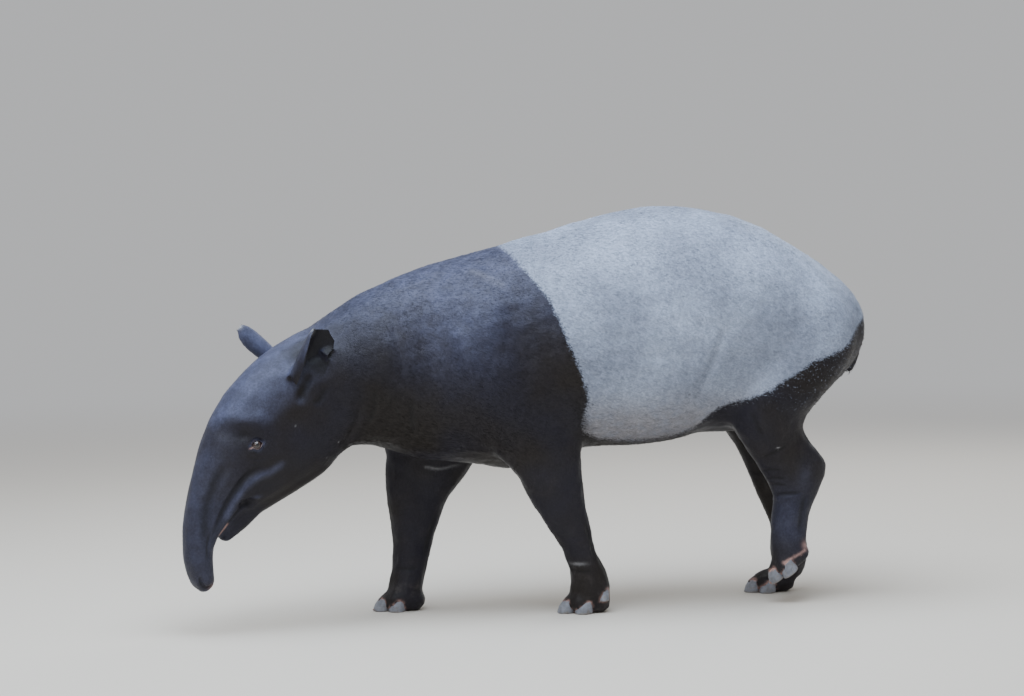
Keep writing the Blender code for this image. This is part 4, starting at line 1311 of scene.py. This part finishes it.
COAT_SHARES = {"head": 17000, "neck": 11000, "shoulders": 17000, "trunk_near": 18000,
               "trunk_far": 18000, "rump": 17000, "fore_legs": 9000, "hind_legs": 10000}
MAX_TUFTS = 19000
# Each tuft is a wedge of seven points: three at its root, three halfway, its tip
TUFT_POINTS = 7
TUFT_FACES = np.array([(0, 1, 2), (0, 4, 1), (0, 3, 4), (1, 5, 2), (1, 4, 5), (2, 3, 0),
                       (2, 5, 3), (3, 6, 4), (4, 6, 5), (5, 6, 3)])
TUFT_MAP = np.array([(-1, -1), (1, -1), (0, -0.6), (-1, 0.2), (1, 0.2), (0, 0.4), (0, 1)])
TUFT_PATCH = 0.0015
TUFT_THICKNESS = 0.22
TUFT_ROOT_DEPTH = 0.0009
TUFT_FLOOR = 0.0004
WAY_SPREAD = 0.13
# The way the hair lies on body, head, jaw, legs, near ear, far ear and tail
BODY_WAY = np.array([-0.92, 0.0, -0.38])
HEAD_WAY = np.array([-0.62, 0.0, 0.70])
JAW_WAY = np.array([-0.80, 0.0, 0.10])
LEG_WAY = np.array([-0.12, 0.0, -1.0])
NEAR_EAR_WAY = np.array([-0.35, 0.25, 0.85])
FAR_EAR_WAY = np.array([0.70, -0.30, 0.70])
TAIL_WAY = np.array([0.05, 0.0, -1.0])


def comb(p, n):
    """The way the hair lies at straight points, as straight unit vectors on the surface."""
    head = rise(0.44, 0.58, p[:, :1])
    way = toward(np.tile(BODY_WAY, (len(p), 1)), HEAD_WAY, head)
    way = toward(way, JAW_WAY, rise(0.10, -0.5, n[:, 2:]) * head)
    way = toward(way, LEG_WAY, leg_measure(p)[:, None])
    ear_way = np.where(p[:, 1:2] > 0.0, NEAR_EAR_WAY, FAR_EAR_WAY)
    way = toward(way, ear_way, ear_measure(p)[:, None])
    way[on_tail(p, -0.91, 0.035)] = TAIL_WAY
    way -= n * np.sum(way * n, axis=1)[:, None]
    return unit(way)


def coat_form(p, n):
    """Length, width and density of the tufts at straight points."""
    f, _, z = p.T
    border = rise(0.025, 0.0, np.abs(saddle_distance(p)))
    head = rise(0.46, 0.62, f)
    leg = leg_measure(p)
    foot = rise(0.14, 0.08, z)
    ear = ear_measure(p) > 0.5
    length = 0.0130 - 0.0050 * border + 0.0030 * rise(0.2, -0.9, n[:, 2]) * rise(0.35, 0.45, z)
    for own, share in ((0.0070, head), (0.0040, nose_measure(p)), (0.0095, leg), (0.0065, foot)):
        length = toward(length, own, share)
    length[ear] = 0.0050
    density = 1.0 + 1.6 * border + 0.5 * rise(0.6, 1.0, n[:, 2])
    density += 1.3 * head + 0.6 * leg + 1.0 * foot
    density[ear] = 4.0
    for side in SIDES:
        _, _, w, radius, inside = eye_measures(p, side)
        density[(inside > -0.0035) & (radius < EYE_REGION) & (w > 0.0)] = 0.0
    return length, np.clip(length * 0.085, 0.00040, 0.00120), density


def coat_region(p):
    """Which coat piece each straight point belongs to, numbered as in COAT_SHARES."""
    f, s, z = p.T
    region = np.full(len(p), 3)
    region[s < 0.0] = 4
    region[f > -0.02] = 2
    region[f > 0.28] = 1
    region[f > 0.50] = 0
    region[f < -0.58] = 5
    region[(z < 0.44) & (f > -0.35) & (f < 0.50) & (region < 5)] = 6
    region[(z < 0.54) & (f < -0.45)] = 7
    return region


def skin_samples(skin, weight, count):
    """Random places on the skin: triangle corners and their shares."""
    corners = mesh_triangles(skin.data)
    a, b, c = (mesh_points(skin.data)[corners[:, i]] for i in range(3))
    area = np.linalg.norm(np.cross(b - a, c - a), axis=1) / 2.0
    chance = area * weight[corners].mean(1)
    chosen = random.choice(len(corners), size=count, p=chance / chance.sum())
    r = np.sqrt(random.random(count))
    t = random.random(count)
    return corners[chosen], np.stack([1.0 - r, r * (1.0 - t), r * t], axis=1)


def blend_rows(values, corners, shares):
    """Interpolate vertex values at samples."""
    if values.ndim == 1:
        return np.sum(values[corners] * shares, axis=1)
    return np.sum(values[corners] * shares[:, :, None], axis=1)


def build_tufts(name, surface, roots, normals, ways, length, width, lift, values, uv):
    """One mesh of closed, tapering tufts that lie along the skin."""
    half = unit(np.cross(ways, normals)) * (width / 2.0)[:, None]
    raised = normals * (width * TUFT_THICKNESS)[:, None]
    sunk = roots - normals * TUFT_ROOT_DEPTH
    middle = roots + ways * (0.50 * length)[:, None] + normals * (0.50 * lift)[:, None]
    tip = roots + ways * length[:, None] + normals * (0.72 * lift)[:, None]
    points = np.stack([sunk - half, sunk + half, sunk + raised, middle - half * 0.95,
                       middle + half * 0.95, middle + raised, tip], axis=1)
    points[:, :, 2] = np.maximum(points[:, :, 2], TUFT_FLOOR)
    starts = np.arange(len(roots))[:, None, None] * TUFT_POINTS
    triangles = (starts + TUFT_FACES).reshape(-1, 3)
    mesh = triangle_mesh(name, points.reshape(-1, 3), triangles)
    for key, value in values.items():
        put_values(mesh, key, np.repeat(value, TUFT_POINTS, axis=0))
    spread = (uv[:, None, :] + TUFT_MAP * TUFT_PATCH).reshape(-1, 2)
    put_map(mesh, np.clip(spread, 0.0, 1.0)[triangles.ravel()])
    coat = new_object(name, mesh)
    mesh.shade_smooth()
    mesh.normals_split_custom_set_from_vertices(np.repeat(normals, TUFT_POINTS, axis=0))
    finish_piece(coat, surface, [])


def grow_coat(skin, surface, marks, hoof_edge, atlas):
    """Tufts over the whole skin, in pieces."""
    points = mesh_points(skin.data)
    n_world = mesh_normals(skin.data)
    p, turn = straight(points)
    n = to_straight_direction(n_world, turn)
    length, width, density = coat_form(p, n)
    density = density * (hoof_edge < 0.5)
    region = coat_region(p)
    ways = to_world_direction(comb(p, n), turn)
    share = 1.0
    for index, (name, count) in enumerate(COAT_SHARES.items()):
        sample = skin_samples(skin, density * (region == index), min(MAX_TUFTS, int(count * share)))
        roots = blend_rows(points, *sample)
        normals = unit(blend_rows(n_world, *sample))
        way = blend_rows(ways, *sample)
        way += random.normal(0.0, WAY_SPREAD, way.shape)
        way -= normals * np.sum(way * normals, axis=1)[:, None]
        vary = random.uniform(0.70, 1.20, len(roots))
        long = blend_rows(length, *sample) * vary
        wide = blend_rows(width, *sample) * random.uniform(0.8, 1.2, len(roots))
        lift = long * random.uniform(0.07, 0.16, len(roots))
        values = {key: blend_rows(value, *sample) for key, value in marks.items()}
        values["own"] = random.random(len(roots))
        root_p, root_turn = straight(roots)
        root_n = to_straight_direction(normals, root_turn)
        uv = atlas.place(root_p, atlas.chart(root_p, root_n))
        build_tufts("coat_" + name, surface, roots, normals, unit(way), long, wide, lift,
                    values, uv)


# Light, floor and camera

BACKGROUND = (0.97, 0.98, 1.0)
BACKGROUND_STRENGTH = 0.56
FLOOR_COLOUR = (0.68, 0.63, 0.56)
FLOOR_HALF = 30.0
FLOOR_DROP = 0.0005
FLOOR_FADE = (2.2, 9.0)
LIGHT_AIM = Vector((0.0, 0.0, 0.6))
# Each light: name, place, size, power, colour
LIGHTS = (
    ("overhead", (-0.6, -0.8, 4.2), 4.0, 340.0, (0.76, 0.87, 1.0)),
    ("key", (-3.2, -4.2, 3.4), 2.6, 60.0, (0.90, 0.95, 1.0)),
    ("rim", (3.0, 3.5, 3.0), 2.5, 60.0, (0.95, 0.98, 1.0)),
)


def build_lights():
    """Square soft lights and an even background."""
    for name, at, size, power, colour in LIGHTS:
        light = bpy.data.lights.new(name, "AREA")
        light.size = size
        light.energy = power
        light.color = colour
        lamp = new_object(name, light)
        lamp.location = at
        lamp.rotation_euler = (LIGHT_AIM - Vector(at)).to_track_quat("-Z", "Y").to_euler()
    sky = bpy.data.worlds.new("studio")
    bpy.context.scene.world = sky
    sky.use_nodes = True
    back = sky.node_tree.nodes["Background"]
    back.inputs["Color"].default_value = (*BACKGROUND, 1.0)
    back.inputs["Strength"].default_value = BACKGROUND_STRENGTH


def build_floor():
    """A plain pale floor that fades into the background far from the animal."""
    corners = [(x * FLOOR_HALF, y * FLOOR_HALF, -FLOOR_DROP)
               for x, y in ((-1, -1), (1, -1), (1, 1), (-1, 1))]
    floor = new_object("floor", triangle_mesh("floor", corners, [(0, 1, 2), (0, 2, 3)]))
    g = Graph("floor_pale")
    away = g.node("VectorMath", {0: g.place()}, operation="LENGTH")["Value"]
    away = g.span(away, *FLOOR_FADE)
    g.surface({"Base Color": g.mix(away, FLOOR_COLOUR, (0.0, 0.0, 0.0)), "Roughness": 0.85,
               "Specular IOR Level": 0.0, "Emission Color": BACKGROUND,
               "Emission Strength": g.times(away, BACKGROUND_STRENGTH)})
    floor.data.materials.append(g.material)


def build_camera():
    """The photograph's camera, fitted beforehand to the animal's outline."""
    back = Vector((math.sin(CAMERA_AZIMUTH) * math.cos(CAMERA_ELEVATION),
                   -math.cos(CAMERA_AZIMUTH) * math.cos(CAMERA_ELEVATION),
                   math.sin(CAMERA_ELEVATION)))
    side = (-back).cross(Vector((0.0, 0.0, 1.0))).normalized()
    top = side.cross(-back)
    right = side * math.cos(CAMERA_ROLL) + top * math.sin(CAMERA_ROLL)
    up = top * math.cos(CAMERA_ROLL) - side * math.sin(CAMERA_ROLL)
    lens = bpy.data.cameras.new("camera")
    lens.sensor_width = SENSOR
    lens.lens = FOCAL_PIXELS / IMAGE_WIDTH * SENSOR
    lens.clip_end = CLIP_END
    camera = new_object("camera", lens)
    at = Vector(SHIFT) + Vector((0.0, 0.0, CAMERA_HEIGHT)) + back * CAMERA_DISTANCE
    turn = Matrix((right, up, back)).transposed().to_4x4()
    camera.matrix_world = Matrix.Translation(at) @ turn
    bpy.context.scene.camera = camera


def build_animal():
    """Skin, coat, eyes and hooves."""
    skin = build_skin()
    groove = sculpt(skin)
    sink_under_coat(skin)
    hoof_edge = sink_under_hooves(skin)
    mesh = skin.data
    p, turn = straight(mesh_points(mesh))
    marks = markings(p, to_straight_direction(mesh_normals(mesh), turn), groove, hoof_edge)
    for key, value in marks.items():
        put_values(mesh, key, value)
    mesh.shade_smooth()
    finish_piece(skin, hide_material("hide", False), FLESH)
    atlas = unwrap_skin(skin, p)
    grow_coat(skin, hide_material("hair", True), marks, hoof_edge, atlas)
    wet = eye_material()
    for side in SIDES:
        build_eye(side, wet)
    horn = horn_material()
    for foot in FEET:
        for toe in foot[4]:
            build_hoof(foot, toe, horn)


build_animal()
build_floor()
build_lights()
build_camera()
